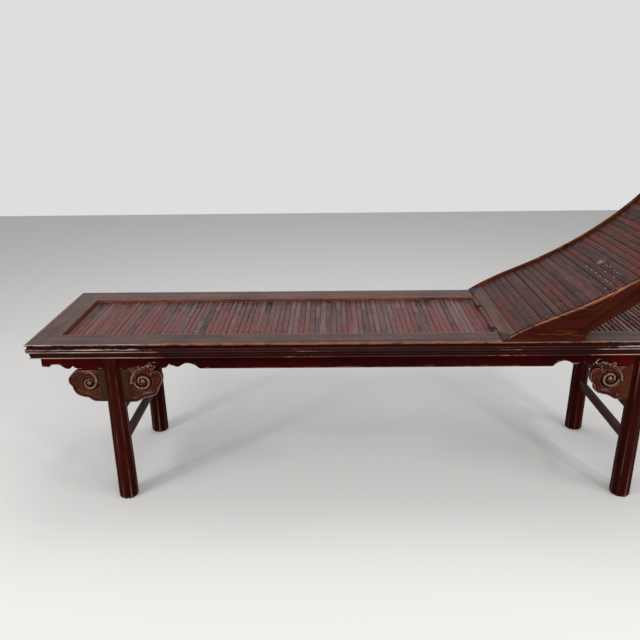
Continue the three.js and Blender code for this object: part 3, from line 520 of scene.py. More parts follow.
def add_rail(pile, sizes, half_run, reach, quarters, wall_wear, painted_top_shade, seed):
    """A mitred rail: the section is carried along the rail, and each of its lines ends at the mitre,
    so it is as much shorter as it lies further in. Long waves stand for hand planing, and shorter
    ones for dents in the outer edge."""
    profile = rail_profile(sizes)
    rows = max(8, int(2 * half_run / RAIL_STEP))
    inset, rise = profile[None, :, 0], profile[None, :, 1]
    x = np.linspace(-1, 1, rows)[:, None] * (half_run - inset - sizes.joint_gap / 2)
    edge = 1 - smooth_step(0, 2 * sizes.mould_inset, inset)
    outer = (wander(x, seed) * 0.7 + wander(x, seed + 1, 0.05, 3) * 0.5) * sizes.unevenness
    top = smooth_step(-sizes.edge_round * 4, 0, rise)
    dents = np.abs(wander(x, seed + 3, 0.09, 4)) * edge * sizes.unevenness
    lift = wander(x + inset, seed + 2) * sizes.unevenness * 0.5 - dents
    points = stacked(x, inset - reach + outer * edge, seat_height + rise + lift * top)
    along = np.cumsum(np.linalg.norm(np.diff(profile, axis=0, prepend=profile[:1]), axis=1))
    masks = rail_masks(sizes, profile, x / half_run, x, wall_wear, painted_top_shade, seed)
    add_tubes(pile, quarter_turned(points, quarters), grain=stacked(x, along, seed * 0.37), **masks)


def rail_masks(sizes, profile, share, x, wall_wear, painted_top_shade, seed):
    """Looks of a rail's points. Wear lies on the moulding's crests, along the top's outer arris and on
    the inner wall; on the moulded side it comes and goes. Towards the ends it is full and its hue is
    pale, a painted highlight on the beads, as is the slight pale hue on the lower beads. Tone marks
    the moulded side, and dirt the hollows, with old dirt and painted shade, and a painted shade on the top."""
    inset, rise = profile[None, :, 0], profile[None, :, 1]
    width = rail_high.y - rail_low.y
    edge = 1 - smooth_step(0, 2 * sizes.mould_inset, inset)
    bend = turning(profile, BEND_REACH)[None]
    wall = smooth_step(width - 0.001, width, inset) * smooth_step(*WALL_FADE, rise)
    side = smooth_step(*SIDE_FADE, rise) * (inset < 2 * sizes.mould_inset)
    bead = smooth_step(*BEAD_FADE, rise) * side
    lower_cove = smooth_step(*LOWER_COVE_FADES[0], rise) * smooth_step(*LOWER_COVE_FADES[1], rise)
    ends = smooth_step(*PAINTED_HIGHLIGHT_END_SHARES, np.abs(share))
    kept = np.clip(0.32 + 0.48 * bead + 0.35 * wander(x, seed + 4, 0.5), 0.1, 1)
    kept = (kept + (1.2 - 0.62 * bead - kept) * ends) * (1 - 0.8 * lower_cove)
    crest = np.clip(bend * (0.9 + 0.7 * side) - 0.5 * side, 0, 1)
    walls = wall_wear * wall * np.clip(0.85 + 0.35 * wander(x, seed + 7, 0.6), 0.4, 1.1)
    arris = smooth_step(*ARRIS_INSET_FADE, inset) * smooth_step(*ARRIS_DROP_FADE, rise) * (1 - 0.75 * ends)
    rubbed_arris = arris * np.clip(0.68 + 0.25 * wander(x, seed + 8, 0.08, 4), 0, 1)
    broken = np.clip(0.6 + 0.5 * wander(x, seed + 6, 0.12, 3), 0, 1)
    # Full wear and a pale hue towards the ends, and the pale hue on the lower beads, paint highlights
    return {
        "wear": np.maximum(crest * (1 - side + side * kept) + walls, rubbed_arris),
        "tone": side * (1 - 0.38 * crest * (1 - ends)),
        "hue": edge * np.maximum(0.18 * (side - bead), ends * (1 - bead + 0.6 * bead * broken)),
        # dirt: old dirt and painted shade in the moulding's hollows, and a painted shade on the top
        "dirt": np.clip(-bend * 1.2 + painted_top_shade * smooth_step(*TOP_FADE, rise), 0, 1),
    }


class BENCH_OT_rails(bpy.types.Operator):
    """Builds the four mitred rails with their moulded edges"""

    bl_idname = "bench.rails"
    bl_label = "Seat Rails"

    def execute(self, context):
        sizes = context.scene.bench_sizes
        finish = rail_finish(context.scene.bench_colours)
        # Node, half length, reach, quarter turns, wear of the inner wall, painted shade on the top
        rails = (
            ("front_rail", half_length, half_width, 0, 0.7, 0.0),
            ("head_end_rail", half_width, half_length, 1, 0.3, 0.12),
            ("rear_rail", half_length, half_width, 2, 0.8, 0.03),
            ("foot_end_rail", half_width, half_length, 3, 0.3, 0.14),
        )
        for number, (node, *rail) in enumerate(rails):
            pile = pile_of(add_rail, sizes, *rail, 10 * number + 3)
            make_piece("moulded_" + node, pile, finish, "bench", [node])
        return {"FINISHED"}


# A slat's section: height of its sides and of its crown, as shares of its thickness, and the
# powers of its superellipse
SLAT_SIDE_SHARE, SLAT_CROWN_SHARE = 0.62, 0.38
SKIN_POWER, SKIN_ROOT = 3.4, 2.2


def slat_section(width, thickness):
    """Section of a slat: flat underside, then a skin that rises as a superellipse, so that it is
    nearly flat on top and round at the shoulders."""
    turn = np.linspace(np.pi / 2, -np.pi / 2, 11)
    across = width / 2 * np.sin(turn)
    crown = (1 - np.abs(np.sin(turn)) ** SKIN_POWER) ** (1 / SKIN_ROOT)
    up = thickness * (SLAT_SIDE_SHARE + SLAT_CROWN_SHARE * crown)
    return np.vstack([[-width / 2, 0], [width / 2, 0], stacked(across, up)])


# A slat's rings where the cane had its nodes, and how much the slats differ from each other.
# Rows that fall together are kept apart by the least step
SLAT_ROWS = 25
LEAST_STEP = 1e-6
NODE_OFFSETS = np.array([-9, -5, -3, -1.6, 0, 1.6, 3, 5, 9]) * 0.001
NODE_REACH, NODE_SWELL = 0.0017, 0.00055
DIP_PLACE, DIP_REACH, DIP_DEPTH = 0.004, 0.0022, 0.0004
SHADE_BORDER = 0.0008
SLAT_BOW, SLAT_WAVE, SLAT_LIFT = 0.00012, 0.00018, 0.00035
SLAT_LEAN = math.radians(2.2)
SLAT_WIDTH_SPREAD, SLAT_RED_SPREAD = 0.01, 0.22


def add_slats(pile, origins, across, up, half_run, width, thickness, draw, red, gaps, side_red, rub_and_glint=1.0):
    """Bamboo slats that lie along Y. Each is its section carried along its length, with two rings
    where the cane had its nodes, and its own width, height, lean and slight bow. Each stretch
    between nodes has its own shade and redness, and towards the front it is redder by side_red."""
    count = len(origins)
    section = slat_section(width, thickness)
    side, rise = section[None, None, :, 0], section[None, None, :, 1]
    places = draw.uniform(-1, 1, (count, 2)) * half_run
    close = np.abs(places[:, 1] - places[:, 0]) < half_run / 2
    places[:, 1] = np.where(close, places[:, 0] + half_run, places[:, 1])
    rows = np.broadcast_to(np.linspace(-half_run, half_run, SLAT_ROWS), (count, SLAT_ROWS))
    extra = (places[:, :, None] + NODE_OFFSETS).reshape(count, -1)
    y = np.sort(np.clip(np.hstack([rows, extra]), -half_run, half_run), axis=1)
    y = np.sort(y + np.arange(y.shape[1]) * LEAST_STEP, axis=1)
    off = y[:, :, None] - places[:, None, :]
    ring = bell(off, NODE_REACH).sum(-1)
    dip = bell(off - DIP_PLACE, DIP_REACH).sum(-1)
    swell = NODE_SWELL * ring - DIP_DEPTH * dip
    bow = draw.normal(0, SLAT_BOW, (count, 1)) * np.cos(np.pi * y / half_run / 2)
    bow = bow + SLAT_WAVE * wander(y + origins[:, :1] * 9, 5)
    wide = 1 + draw.normal(0, SLAT_WIDTH_SPREAD, (count, 1, 1)) - 0.01 * ring[:, :, None]
    lean = draw.normal(0, SLAT_LEAN, (count, 1, 1))
    raised = draw.normal(0, SLAT_LIFT, (count, 1, 1)) + swell[:, :, None]
    a = side * wide + bow[:, :, None] + np.asarray(gaps)[:, None, None]
    b = rise + (raised + side * np.tan(lean)) * (rise > 0)
    sideways, upwards = a[..., None] * across[:, None, None, :], b[..., None] * up[:, None, None, :]
    points = origins[:, None, None, :] + sideways + upwards
    points[..., 1] = y[:, :, None]
    stretch = (y[:, :, None] > places[:, None, :] + SHADE_BORDER).sum(-1)
    slat = np.arange(count)[:, None]
    tone = 0.55 * draw.random((count, 1)) + 0.45 * draw.random((count, 3))[slat, stretch]
    borders = np.hstack([places, np.tile([-half_run, half_run], (count, 1))])
    borders = np.sort(np.clip(borders, -half_run, half_run), axis=1)
    middles = (borders[:, 1:] + borders[:, :-1]) / 2 / half_run
    redness = red[:, None] + draw.normal(0, SLAT_RED_SPREAD, (count, 3)) - side_red * middles
    shoulder = side / (width / 2)
    lit = draw.choice([-1, 1], (count, 1, 1))
    # One shoulder of each slat, chosen as the lit one, gets a painted highlight; both edges and the rings at
    # the nodes are rubbed pale
    wear = np.clip(shoulder * lit, 0, 1) ** 5 * 0.75 + np.abs(shoulder) ** 9 * 0.3 + ring[:, :, None] * 0.9
    # dirt: painted shade on the slats' sides in the gaps, and dirt in the dips beside the nodes
    dirt = np.clip(dip[:, :, None] * 0.5 + (rise < thickness * 0.8), 0, 1)
    grain = stacked(y[:, :, None], a, draw.random((count, 1, 1)) * 7)
    hue = redness[slat, stretch][:, :, None]
    # The wear is scaled up for the slats under the back: painted glints on their shoulders
    wear = np.clip(wear * rub_and_glint, 0, 1)
    add_tubes(pile, points, tone=tone[:, :, None], hue=hue, wear=wear, dirt=dirt, grain=grain)


BAR_STEP = 0.03


def add_bar(pile, low, high, radius, seed, tone=0.0):
    """A bar with rounded edges along the longest side of a box; its corners fill the box. The tone
    is a painted sheen on its upper face."""
    low, high = np.asarray(low, float), np.asarray(high, float)
    size = high - low
    axis = int(np.argmax(size))
    first, second = [k for k in range(3) if k != axis]
    section = rounded_rectangle(size[first], size[second], radius, 4, 2, 2)
    along = np.linspace(low[axis], high[axis], max(4, int(size[axis] / BAR_STEP)))
    first_end, last_end = along[:1], along[-1:]
    rounded = [first_end, first_end + radius / 3, along[1:-1], last_end - radius / 3, last_end]
    along = np.concatenate(rounded)
    shrink = np.ones(len(along))
    shrink[[0, -1]] = 1 - radius / min(size[first], size[second])
    points = np.zeros((len(along), len(section), 3))
    points[..., axis] = along[:, None]
    points[..., first] = (low + high)[first] / 2 + section[None, :, 0] * shrink[:, None]
    points[..., second] = (low + high)[second] / 2 + section[None, :, 1] * shrink[:, None]
    wear = np.clip(turning(section, radius) * 0.5, 0, 1)[None]
    grain = stacked(points[..., axis], points[..., first] + points[..., second], seed)
    upper = smooth_step(high[2] - 0.8 * radius, high[2] - 0.2 * radius, points[..., 2])
    add_tubes(pile, points, wear=wear, grain=grain, tone=tone * upper)


# How far some of the seat's slats, by their number, have slipped, and how much redder its front is
SLIPPED_SLATS = {7: 0.0006, 35: 0.0006, 64: 0.0005}
SEAT_SIDE_RED = 0.5


def add_deck(pile, sizes, start, end, seed, slipped, width, rub_and_glint):
    """A level deck of slats side by side along X, with the lath that runs under their middle."""
    draw = np.random.default_rng(seed)
    count = int((end - start) / sizes.slat_pitch)
    spare = (end - start - count * sizes.slat_pitch) / 2
    x = start + spare + (np.arange(count) + 0.5) * sizes.slat_pitch
    top, gap = seat_high.z - sizes.slat_thickness, sizes.joint_gap
    origins = stacked(x, 0.0, top)
    across, up = (np.tile(axis, (count, 1)) for axis in ((1.0, 0.0, 0.0), (0.0, 0.0, 1.0)))
    gaps = np.array([slipped.get(i, 0.0) for i in range(count)])
    half_run = panel_half_width + sizes.groove_depth / 2
    red = 0.1 + draw.random(count) * 0.45
    thickness = sizes.slat_thickness
    add_slats(pile, origins, across, up, half_run, width, thickness, draw, red, gaps, SEAT_SIDE_RED, rub_and_glint)
    low = (start + gap, -sizes.lath_width / 2, top - sizes.lath_depth)
    add_bar(pile, low, (end - gap, sizes.lath_width / 2, top), sizes.edge_round, seed)


class BENCH_OT_seat_slats(bpy.types.Operator):
    """Builds the bamboo decks of the seat and of the head end"""

    bl_idname = "bench.seat_slats"
    bl_label = "Seat Slats"

    def execute(self, context):
        sizes = context.scene.bench_sizes
        colours = context.scene.bench_colours
        seat_finish = bamboo_finish(colours, "seat_bamboo", "slat", 0.12, 0.55)
        # Slats under the back: lighter colours and more pale streaks, painted light and glints
        head_finish = bamboo_finish(colours, "head_bamboo", "head_slat", 0.05, 0.95)
        decks = (
            ("seat_slats", seat_finish, seat_low.x, seat_high.x, 21, SLIPPED_SLATS, sizes.slat_width, 1.0),
            ("head_slats", head_finish, head_low.x, head_high.x, 22, {}, sizes.head_slat_width, 3.0),
        )
        for node, finish, *deck in decks:
            pile = pile_of(add_deck, sizes, *deck)
            make_piece("bamboo_" + node, pile, finish, "bench", [node])
        return {"FINISHED"}


def heading(slope, distance):
    """A step of a distance at a slope above the X axis."""
    return np.array([math.cos(slope), math.sin(slope)]) * distance


class BackEdge:
    """The side boards' hollow upper edge: two Bezier curves in X and Z from the hinge's axis, with
    points and tangents at shares of its length."""

    def __init__(self, shape):
        tip = np.array([shape.tip_start, 0.0])
        low = np.array([shape.tip_run, shape.tip_rise])
        crest = np.array([shape.run, shape.rise])
        tip_pull = tip + heading(shape.tip_slope, shape.tip_handle)
        first = bezier(tip, tip_pull, low - heading(shape.low_slope, shape.tip_handle), low, 200)
        low_pull = low + heading(shape.low_slope, shape.low_handle)
        second = bezier(low, low_pull, crest - heading(shape.crest_slope, shape.crest_handle), crest, 600)
        self.points = np.vstack([first, second[1:]])
        steps = np.linalg.norm(np.diff(self.points, axis=0), axis=1)
        self.shares = np.concatenate([[0], np.cumsum(steps)]) / steps.sum()
        self.length = steps.sum()
        slopes = np.gradient(self.points, self.shares, axis=0)
        self.tangents = slopes / np.linalg.norm(slopes, axis=1)[:, None]

    def at(self, share, table):
        """Points or tangents at shares of the length."""
        return np.stack([np.interp(share, self.shares, table[:, k]) for k in range(2)], -1)

    def share_at(self, x):
        """Share of the length at a distance along X."""
        return np.interp(x, self.points[:, 0], self.shares)

    def below(self, share, depth):
        """Points at shares of the length, moved square to the edge by a depth below it."""
        tangent = self.at(share, self.tangents)
        square = np.stack([tangent[..., 1], -tangent[..., 0]], -1)
        return self.at(share, self.points) + square * np.asarray(depth)[..., None]


BOARD_ROWS = 70


def board_edges(shape, edge):
    """Matching points on the upper and the lower edge of a side board: straight across the flat foot,
    round the heel, then square to the curve up to the rounded crest."""
    foot = np.linspace(shape.tip_start, shape.foot_length, BOARD_ROWS)
    foot_high = edge.at(edge.share_at(foot), edge.points)
    waist = edge.below(shape.waist_share, shape.waist_depth)
    heel = (shape.foot_length, shape.heel_stand)
    heel_pull = (shape.foot_length, shape.heel_stand + shape.heel_handle)
    heel_low = bezier(heel, heel_pull, waist - heading(shape.waist_slope, shape.waist_handle), waist, 40)
    reach = np.linspace(edge.share_at(shape.foot_length), shape.waist_share, 41)[1:]
    upper = np.linspace(shape.waist_share, 1, BOARD_ROWS)[1:]
    left = (1 - upper) * edge.length
    corner = np.clip(shape.crest_round - left, 0, shape.crest_round)
    cut = shape.crest_round - np.sqrt(np.maximum(shape.crest_round**2 - corner**2, 0))
    along = (upper - shape.waist_share) / (1 - shape.waist_share)
    depth = shape.waist_depth + (shape.crest_depth - shape.waist_depth) * along
    high = np.vstack([foot_high, edge.at(reach, edge.points), edge.below(upper, cut)])
    low = np.vstack([stacked(foot, 0.0), heel_low, edge.below(upper, depth - cut)])
    return high, low


# A side board: thickness at its tip, how worn its arrises and outer face are, and where wear and
# dirt fade: up from the tip, across the upper edge, below it and above the foot
TIP_THICKNESS = 0.0008
ARRIS_WEAR, OUTER_ARRIS_WEAR, OUTER_FACE_WEAR, FOOT_DIRT = 0.45, 0.4, 0.34, 0.4
TIP_FADE = (0.004, 0.012)
OUTER_ARRIS_SHARES = (0.34, 0.44)
OUTER_FACE_FADE = (0.0, 0.004)
FOOT_DIRT_FADE = (0.02, 0.0)


def add_side_board(pile, sizes, shape, edge, sign, seed):
    """A side board: a rounded rectangle between the matching edge points, carried along the board.
    Near the sharp tip its inner side is cut away along the mitre. The rounding keeps its real radius
    at any depth of the board."""
    high, low = board_edges(shape, edge)
    tall = np.maximum(np.linalg.norm(high - low, axis=1), 1e-4)
    direction = (high - low) / tall[:, None]
    radius = np.minimum(sizes.edge_round, tall * 0.45)[:, None]
    rounding = sizes.edge_round / sizes.board_thickness
    share_in, share_up = rounded_rectangle(1, 1, rounding, 5, 6, 10).T
    slope = sizes.board_thickness / sizes.mitre_run
    run = 0.5 * (high + low)[:, 0] - shape.tip_start
    inner = np.clip(run * slope, TIP_THICKNESS, sizes.board_thickness)
    away = np.maximum(np.abs(share_up) - (0.5 - rounding), 0) / rounding
    flat = tall[:, None] / 2 - radius
    kept = np.where(away > 0, flat + radius * away, np.abs(share_up) / (0.5 - rounding) * flat)
    up = tall[:, None] / 2 + np.sign(share_up)[None] * kept
    depth = half_width - (0.5 - share_in)[None, :] * inner[:, None]
    plane = low[:, None, :] + direction[:, None, :] * up[..., None]
    travel = np.concatenate([[0], np.cumsum(np.linalg.norm(np.diff((high + low) / 2, axis=0), axis=1))])
    sway = wander(travel, seed)[:, None] * sizes.unevenness * 0.5
    points = stacked(hinge.x + plane[..., 0], sign * depth, hinge.z + plane[..., 1] + sway * (up > flat))
    from_top = tall[:, None] - up
    arris = ARRIS_WEAR + OUTER_ARRIS_WEAR * smooth_step(*OUTER_ARRIS_SHARES, share_in)
    wear = np.where(from_top < sizes.edge_round * 1.5, arris, 0.0) * smooth_step(*TIP_FADE, tall)[:, None]
    outer_face = OUTER_FACE_WEAR * smooth_step(*OUTER_FACE_FADE, from_top - sizes.edge_round) * (share_in > 0)
    wear = np.maximum(wear, outer_face)
    dirt = smooth_step(*FOOT_DIRT_FADE, up) * FOOT_DIRT
    grain = stacked(travel[:, None], up, seed * 0.61)
    # A pale hue on the upper outer arris: rubbed wood with a painted highlight
    pale = smooth_step(0.5, 0.85, wear) * 0.4
    inner_face = (share_in < -0.49)[None] * 1.0
    add_tubes(pile, points, wear=wear, dirt=dirt, grain=grain, tone=inner_face, hue=pale)


class BENCH_OT_side_boards(bpy.types.Operator):
    """Builds the two curved side boards of the back"""

    bl_idname = "bench.side_boards"
    bl_label = "Side Boards"

    def execute(self, context):
        sizes, shape = context.scene.bench_sizes, context.scene.bench_back
        edge = BackEdge(shape)
        finish = board_finish(context.scene.bench_colours)
        for side, sign in SIDES.items():
            pile = pile_of(add_side_board, sizes, shape, edge, sign, 51 + sign)
            node = side + "_side_board"
            make_piece("curved_" + side + "_board", pile, finish, "back", [node])
        return {"FINISHED"}


# The bottom rail: how far its slanting joint runs outwards for each unit towards the back, and
# how far its front edge is rounded down
JOINT_SLANT = 2.1
FRONT_EDGE_RADIUS = 0.0007
# Sections at each mitre and between them, and points across the top of a section
MITRE_STEPS, SPAN_STEPS, TOP_STEPS = 9, 61, 14


def add_bottom_rail(pile, sizes, shape, edge):
    """The wedge-shaped bottom rail: a section from front edge to back edge, carried across the bench.
    The front edge bows in, and beyond the side boards' inner faces the back edge follows the mitre.
    Tone marks the darker ends beyond a slanting joint."""
    inner = half_width - sizes.board_thickness - sizes.joint_gap
    slope = sizes.board_thickness / sizes.mitre_run
    start = shape.tip_start - 2 * sizes.joint_gap
    tip = half_width - (bottom_rail_front - start) * slope
    rear = edge.below((sizes.bottom_rail_width + bottom_rail_front) / edge.length, sizes.back_recess)
    outer = np.linspace(inner, tip, MITRE_STEPS)
    y = np.concatenate([-outer[::-1], np.linspace(-inner, inner, SPAN_STEPS), outer])
    inside = np.repeat([False, True, False], [MITRE_STEPS, SPAN_STEPS, MITRE_STEPS])
    front_x = bottom_rail_front + sizes.bottom_rail_bow * (1 - (y / tip) ** 2)
    mitre_x = start + (half_width - np.abs(y)) / slope
    back_x = np.where(inside, rear[0], np.maximum(mitre_x, front_x + 0.0002))
    climb = (rear[1] - sizes.bottom_rail_nose) / (rear[0] - shape.tip_start)
    top_x = front_x[:, None] + (back_x - front_x)[:, None] * np.linspace(0, 1, TOP_STEPS)[None]
    top_z = sizes.bottom_rail_nose + (top_x - shape.tip_start) * climb + wander(y * 3, 71)[:, None] * 0.00025
    top_z[:, 0] -= FRONT_EDGE_RADIUS
    top_z[:, -1] -= FRONT_EDGE_RADIUS * 0.6
    low_x = top_x[:, [-1, 0]]
    x, z = np.hstack([top_x, low_x]), np.hstack([top_z, np.zeros_like(low_x)])
    points = stacked(hinge.x + x, y[:, None], hinge.z + z)
    wear = np.zeros(x.shape)
    wear[:, [0, 1, TOP_STEPS - 1]] = (0.2, 0.1, 0.8)
    wear = wear + 0.35 * smooth_step(-0.02, -inner, y)[:, None]
    joint = panel_half_width + (x - bottom_rail_front) * JOINT_SLANT
    ends = smooth_step(-0.001, 0.001, np.abs(y)[:, None] - joint)
    wear = np.clip(wear, 0, 1) * (1 - ends)
    add_tubes(pile, points, wear=wear, grain=stacked(y[:, None], x, 4.4), tone=ends)


# Points on each flat face and round the nose of the crest rail's section
FLAT_STEPS, NOSE_STEPS = 8, 13


def add_crest_rail(pile, sizes, shape, edge):
    """The crest rail: a section in the curve's own depths with a rounded upper end, carried across."""
    reach = half_width - sizes.board_thickness - sizes.joint_gap
    start = 1 - (sizes.crest_rail_width + shape.crest_round / 2) / edge.length
    nose = sizes.crest_rail_depth / 2
    flat_end = 1 - (sizes.joint_gap + nose) / edge.length
    down = np.linspace(start, flat_end, FLAT_STEPS)
    turn = np.linspace(0, np.pi, NOSE_STEPS)
    upper = edge.below(down, sizes.back_recess)
    deeper = sizes.back_recess + nose - nose * np.cos(turn)
    tip = edge.below(flat_end + nose * np.sin(turn) / edge.length, deeper)
    lower = edge.below(down[::-1], sizes.back_recess + sizes.crest_rail_depth)
    section = np.vstack([upper, tip, lower])
    y = np.linspace(-reach, reach, 49)[:, None]
    x = section[None, :, 0]
    z = section[None, :, 1] + wander(y * 2, 81) * sizes.unevenness
    wear = np.zeros(len(section))
    wear[FLAT_STEPS : FLAT_STEPS + NOSE_STEPS] = 0.55
    wear[[0, -1]] = 0.7
    add_tubes(pile, stacked(hinge.x + x, y, hinge.z + z), wear=wear[None], grain=stacked(y, x + z, 6.1))


class BENCH_OT_back_rails(bpy.types.Operator):
    """Builds the bottom rail and the crest rail of the back"""

    bl_idname = "bench.back_rails"
    bl_label = "Back Rails"

    def execute(self, context):
        sizes, shape = context.scene.bench_sizes, context.scene.bench_back
        edge = BackEdge(shape)
        finish = crossbar_finish(context.scene.bench_colours)
        for name, builder in (("bottom_rail", add_bottom_rail), ("crest_rail", add_crest_rail)):
            pile = pile_of(builder, sizes, shape, edge)
            make_piece("shaped_" + name, pile, finish, "back", ["back_" + name])
        return {"FINISHED"}


# The back's slats that have slipped, how much the rest differ, and how much redder its front is
SLIPPED_BACK_SLATS = {5: -0.0007, 17: 0.0006}
BACK_GAP_SPREAD = 0.00015
BACK_RED_SPREAD = 0.15
BACK_SIDE_RED = 0.22
LATH_ROWS = 60


def add_back_slats(pile, sizes, shape, edge):
    """Slats side by side up the curve, each square to it, and the two laths that follow it behind."""
    draw = np.random.default_rng(33)
    start = (sizes.bottom_rail_width + bottom_rail_front + 2 * sizes.joint_gap) / edge.length
    end = 1 - (sizes.crest_rail_width + shape.crest_round / 2 + 2 * sizes.joint_gap) / edge.length
    count = int((end - start) * edge.length / sizes.back_pitch)
    share = start + (np.arange(count) + 0.5) * (end - start) / count
    place = edge.below(share, sizes.back_recess + sizes.slat_thickness)
    tangent = edge.at(share, edge.tangents)
    origins = stacked(hinge.x + place[:, 0], 0.0, hinge.z + place[:, 1])
    across = stacked(tangent[:, 0], 0.0, tangent[:, 1])
    up = stacked(-tangent[:, 1], 0.0, tangent[:, 0])
    half_run = half_width - sizes.board_thickness + sizes.groove_depth / 4
    red = 0.1 + 0.3 * smooth_step(0.3, 0.9, share) + draw.normal(0, BACK_RED_SPREAD, count)
    red = np.clip(red, 0, 1)
    gaps = draw.normal(0, BACK_GAP_SPREAD, count)
    for slat, slip in SLIPPED_BACK_SLATS.items():
        gaps[slat] += slip
    width, thickness = sizes.back_slat_width, sizes.slat_thickness
    add_slats(pile, origins, across, up, half_run, width, thickness, draw, red, gaps, BACK_SIDE_RED)
    lath = np.linspace(start, end, LATH_ROWS)
    deep = sizes.back_recess + sizes.slat_thickness - sizes.joint_gap
    upper, lower = edge.below(lath, deep), edge.below(lath, deep + sizes.lath_depth)
    inset = half_width - sizes.board_thickness - sizes.lath_inset
    for sign in (-1, 1):
        left, right = sign * inset - sizes.lath_width / 2, sign * inset + sizes.lath_width / 2
        corners = ((left, lower), (right, lower), (right, upper), (left, upper))
        rings = [stacked(hinge.x + line[:, 0], side, hinge.z + line[:, 1]) for side, line in corners]
        add_tubes(pile, np.stack(rings, 1))


# Pins in the back's slats: share of the curve, and Y in metres
PINS = (
    (0.461, 0.012), (0.461, -0.023), (0.462, -0.053), (0.46, -0.086), (0.461, -0.12), (0.461, -0.135),
    (0.462, -0.155), (0.513, -0.047), (0.514, -0.062), (0.512, -0.096), (0.513, -0.1145), (0.513, -0.134),
    (0.434, -0.166), (0.488, -0.075), (0.489, -0.13),
)
# Rings of a pin's head: reach as a share of its radius, height as a share of its height
PIN_SHARES = ((1.0, -0.5), (1.0, 0.0), (0.8, 0.36), (0.45, 0.8))
# The knot of one slat: share of the curve and Y, its radius, and how closely its rings follow
KNOT = (0.511, -0.004)
KNOT_RADIUS = 0.012
KNOT_RINGS = 1150.0


def add_pins(pile, sizes, edge):
    """Flat domes on the back's slats: a ring's height falls with the square of its radius."""
    share, y = np.array(PINS).T
    middle = edge.below(share, sizes.back_recess)[:, :, None, None]
    tangent = edge.at(share, edge.tangents)[:, :, None, None]
    turn = np.linspace(0, 2 * np.pi, 12, endpoint=False)
    reach, height = np.array(PIN_SHARES).T[:, None, :, None]
    reach, height = reach * sizes.pin_radius, height * sizes.pin_height
    along = reach * np.cos(turn)
    x = hinge.x + middle[:, 0] + along * tangent[:, 0] - height * tangent[:, 1]
    z = hinge.z + middle[:, 1] + along * tangent[:, 1] + height * tangent[:, 0]
    add_tubes(pile, stacked(x, y[:, None, None] + reach * np.sin(turn), z))


class BENCH_OT_back_slats(bpy.types.Operator):
    """Builds the bamboo slats of the back and the pins in them"""

    bl_idname = "bench.back_slats"
    bl_label = "Back Slats"

    def execute(self, context):
        sizes, shape = context.scene.bench_sizes, context.scene.bench_back
        colours = context.scene.bench_colours
        edge = BackEdge(shape)
        x, z = edge.below(KNOT[0], sizes.back_recess)
        knot = (hinge.x + x, KNOT[1], hinge.z + z)
        pile = pile_of(add_back_slats, sizes, shape, edge)
        finish = bamboo_finish(colours, "back_bamboo", "back_slat", 0.08, 0.55, knot)
        make_piece("bamboo_back_slats", pile, finish, "back", ["back_slats"])
        pile = pile_of(add_pins, sizes, edge)
        make_piece("back_pins", pile, pin_finish(colours), "back")
        return {"FINISHED"}


LOBE_STEPS = 14


def overhang_line(sizes, end_x):
    """Lower edge of an apron from the bench's end to the overhang's last cusp, as X and Z."""
    start = end_x + sizes.apron_inset + sizes.apron_thickness + sizes.joint_gap
    run = end_x + sizes.overhang_reach - start
    return lobed(OVERHANG_SHARES, LOBE_STEPS) * (run, apron_edge - rail_low.z) + (start, rail_low.z)


def lobe_line(sizes, axis_x):
    """Lower edge of an apron from the leaf's root to the straight part, as X and Z."""
    scale = (sizes.lobe_reach - sizes.leaf_start, apron_edge - rail_low.z)
    return lobed(APRON_SHARES, LOBE_STEPS) * scale + (axis_x + sizes.leaf_start, rail_low.z)


def apron_line(sizes, end_x, axis_x=None):
    """Lower edge of a whole apron, symmetric about its middle."""
    left = overhang_line(sizes, end_x)
    if axis_x is not None:
        left = np.vstack([left, lobe_line(sizes, axis_x)])
    return np.vstack([left, left[::-1] * (-1, 1)])


# An apron: spacing of its points, its lower edge, chamfer and rows, and the bead above the edge
APRON_STEP = 0.0011
APRON_EDGE_RADIUS = 0.0028
BACK_CHAMFER = 0.001
EDGE_ROWS, FACE_ROWS = 6, 8
FIRST_ROW_SHARE = 0.12
BEAD_HEIGHT, BEAD_PLACE, BEAD_REACH = 0.0006, 0.006, 0.0016
# Reach of the painted glints along the lower edge
EDGE_GLINT_REACH = 0.0045
# Shares of the half length over which the ends turn lighter and redder: painted light
PAINTED_LIGHT_END_SHARES = (0.6, 0.85)


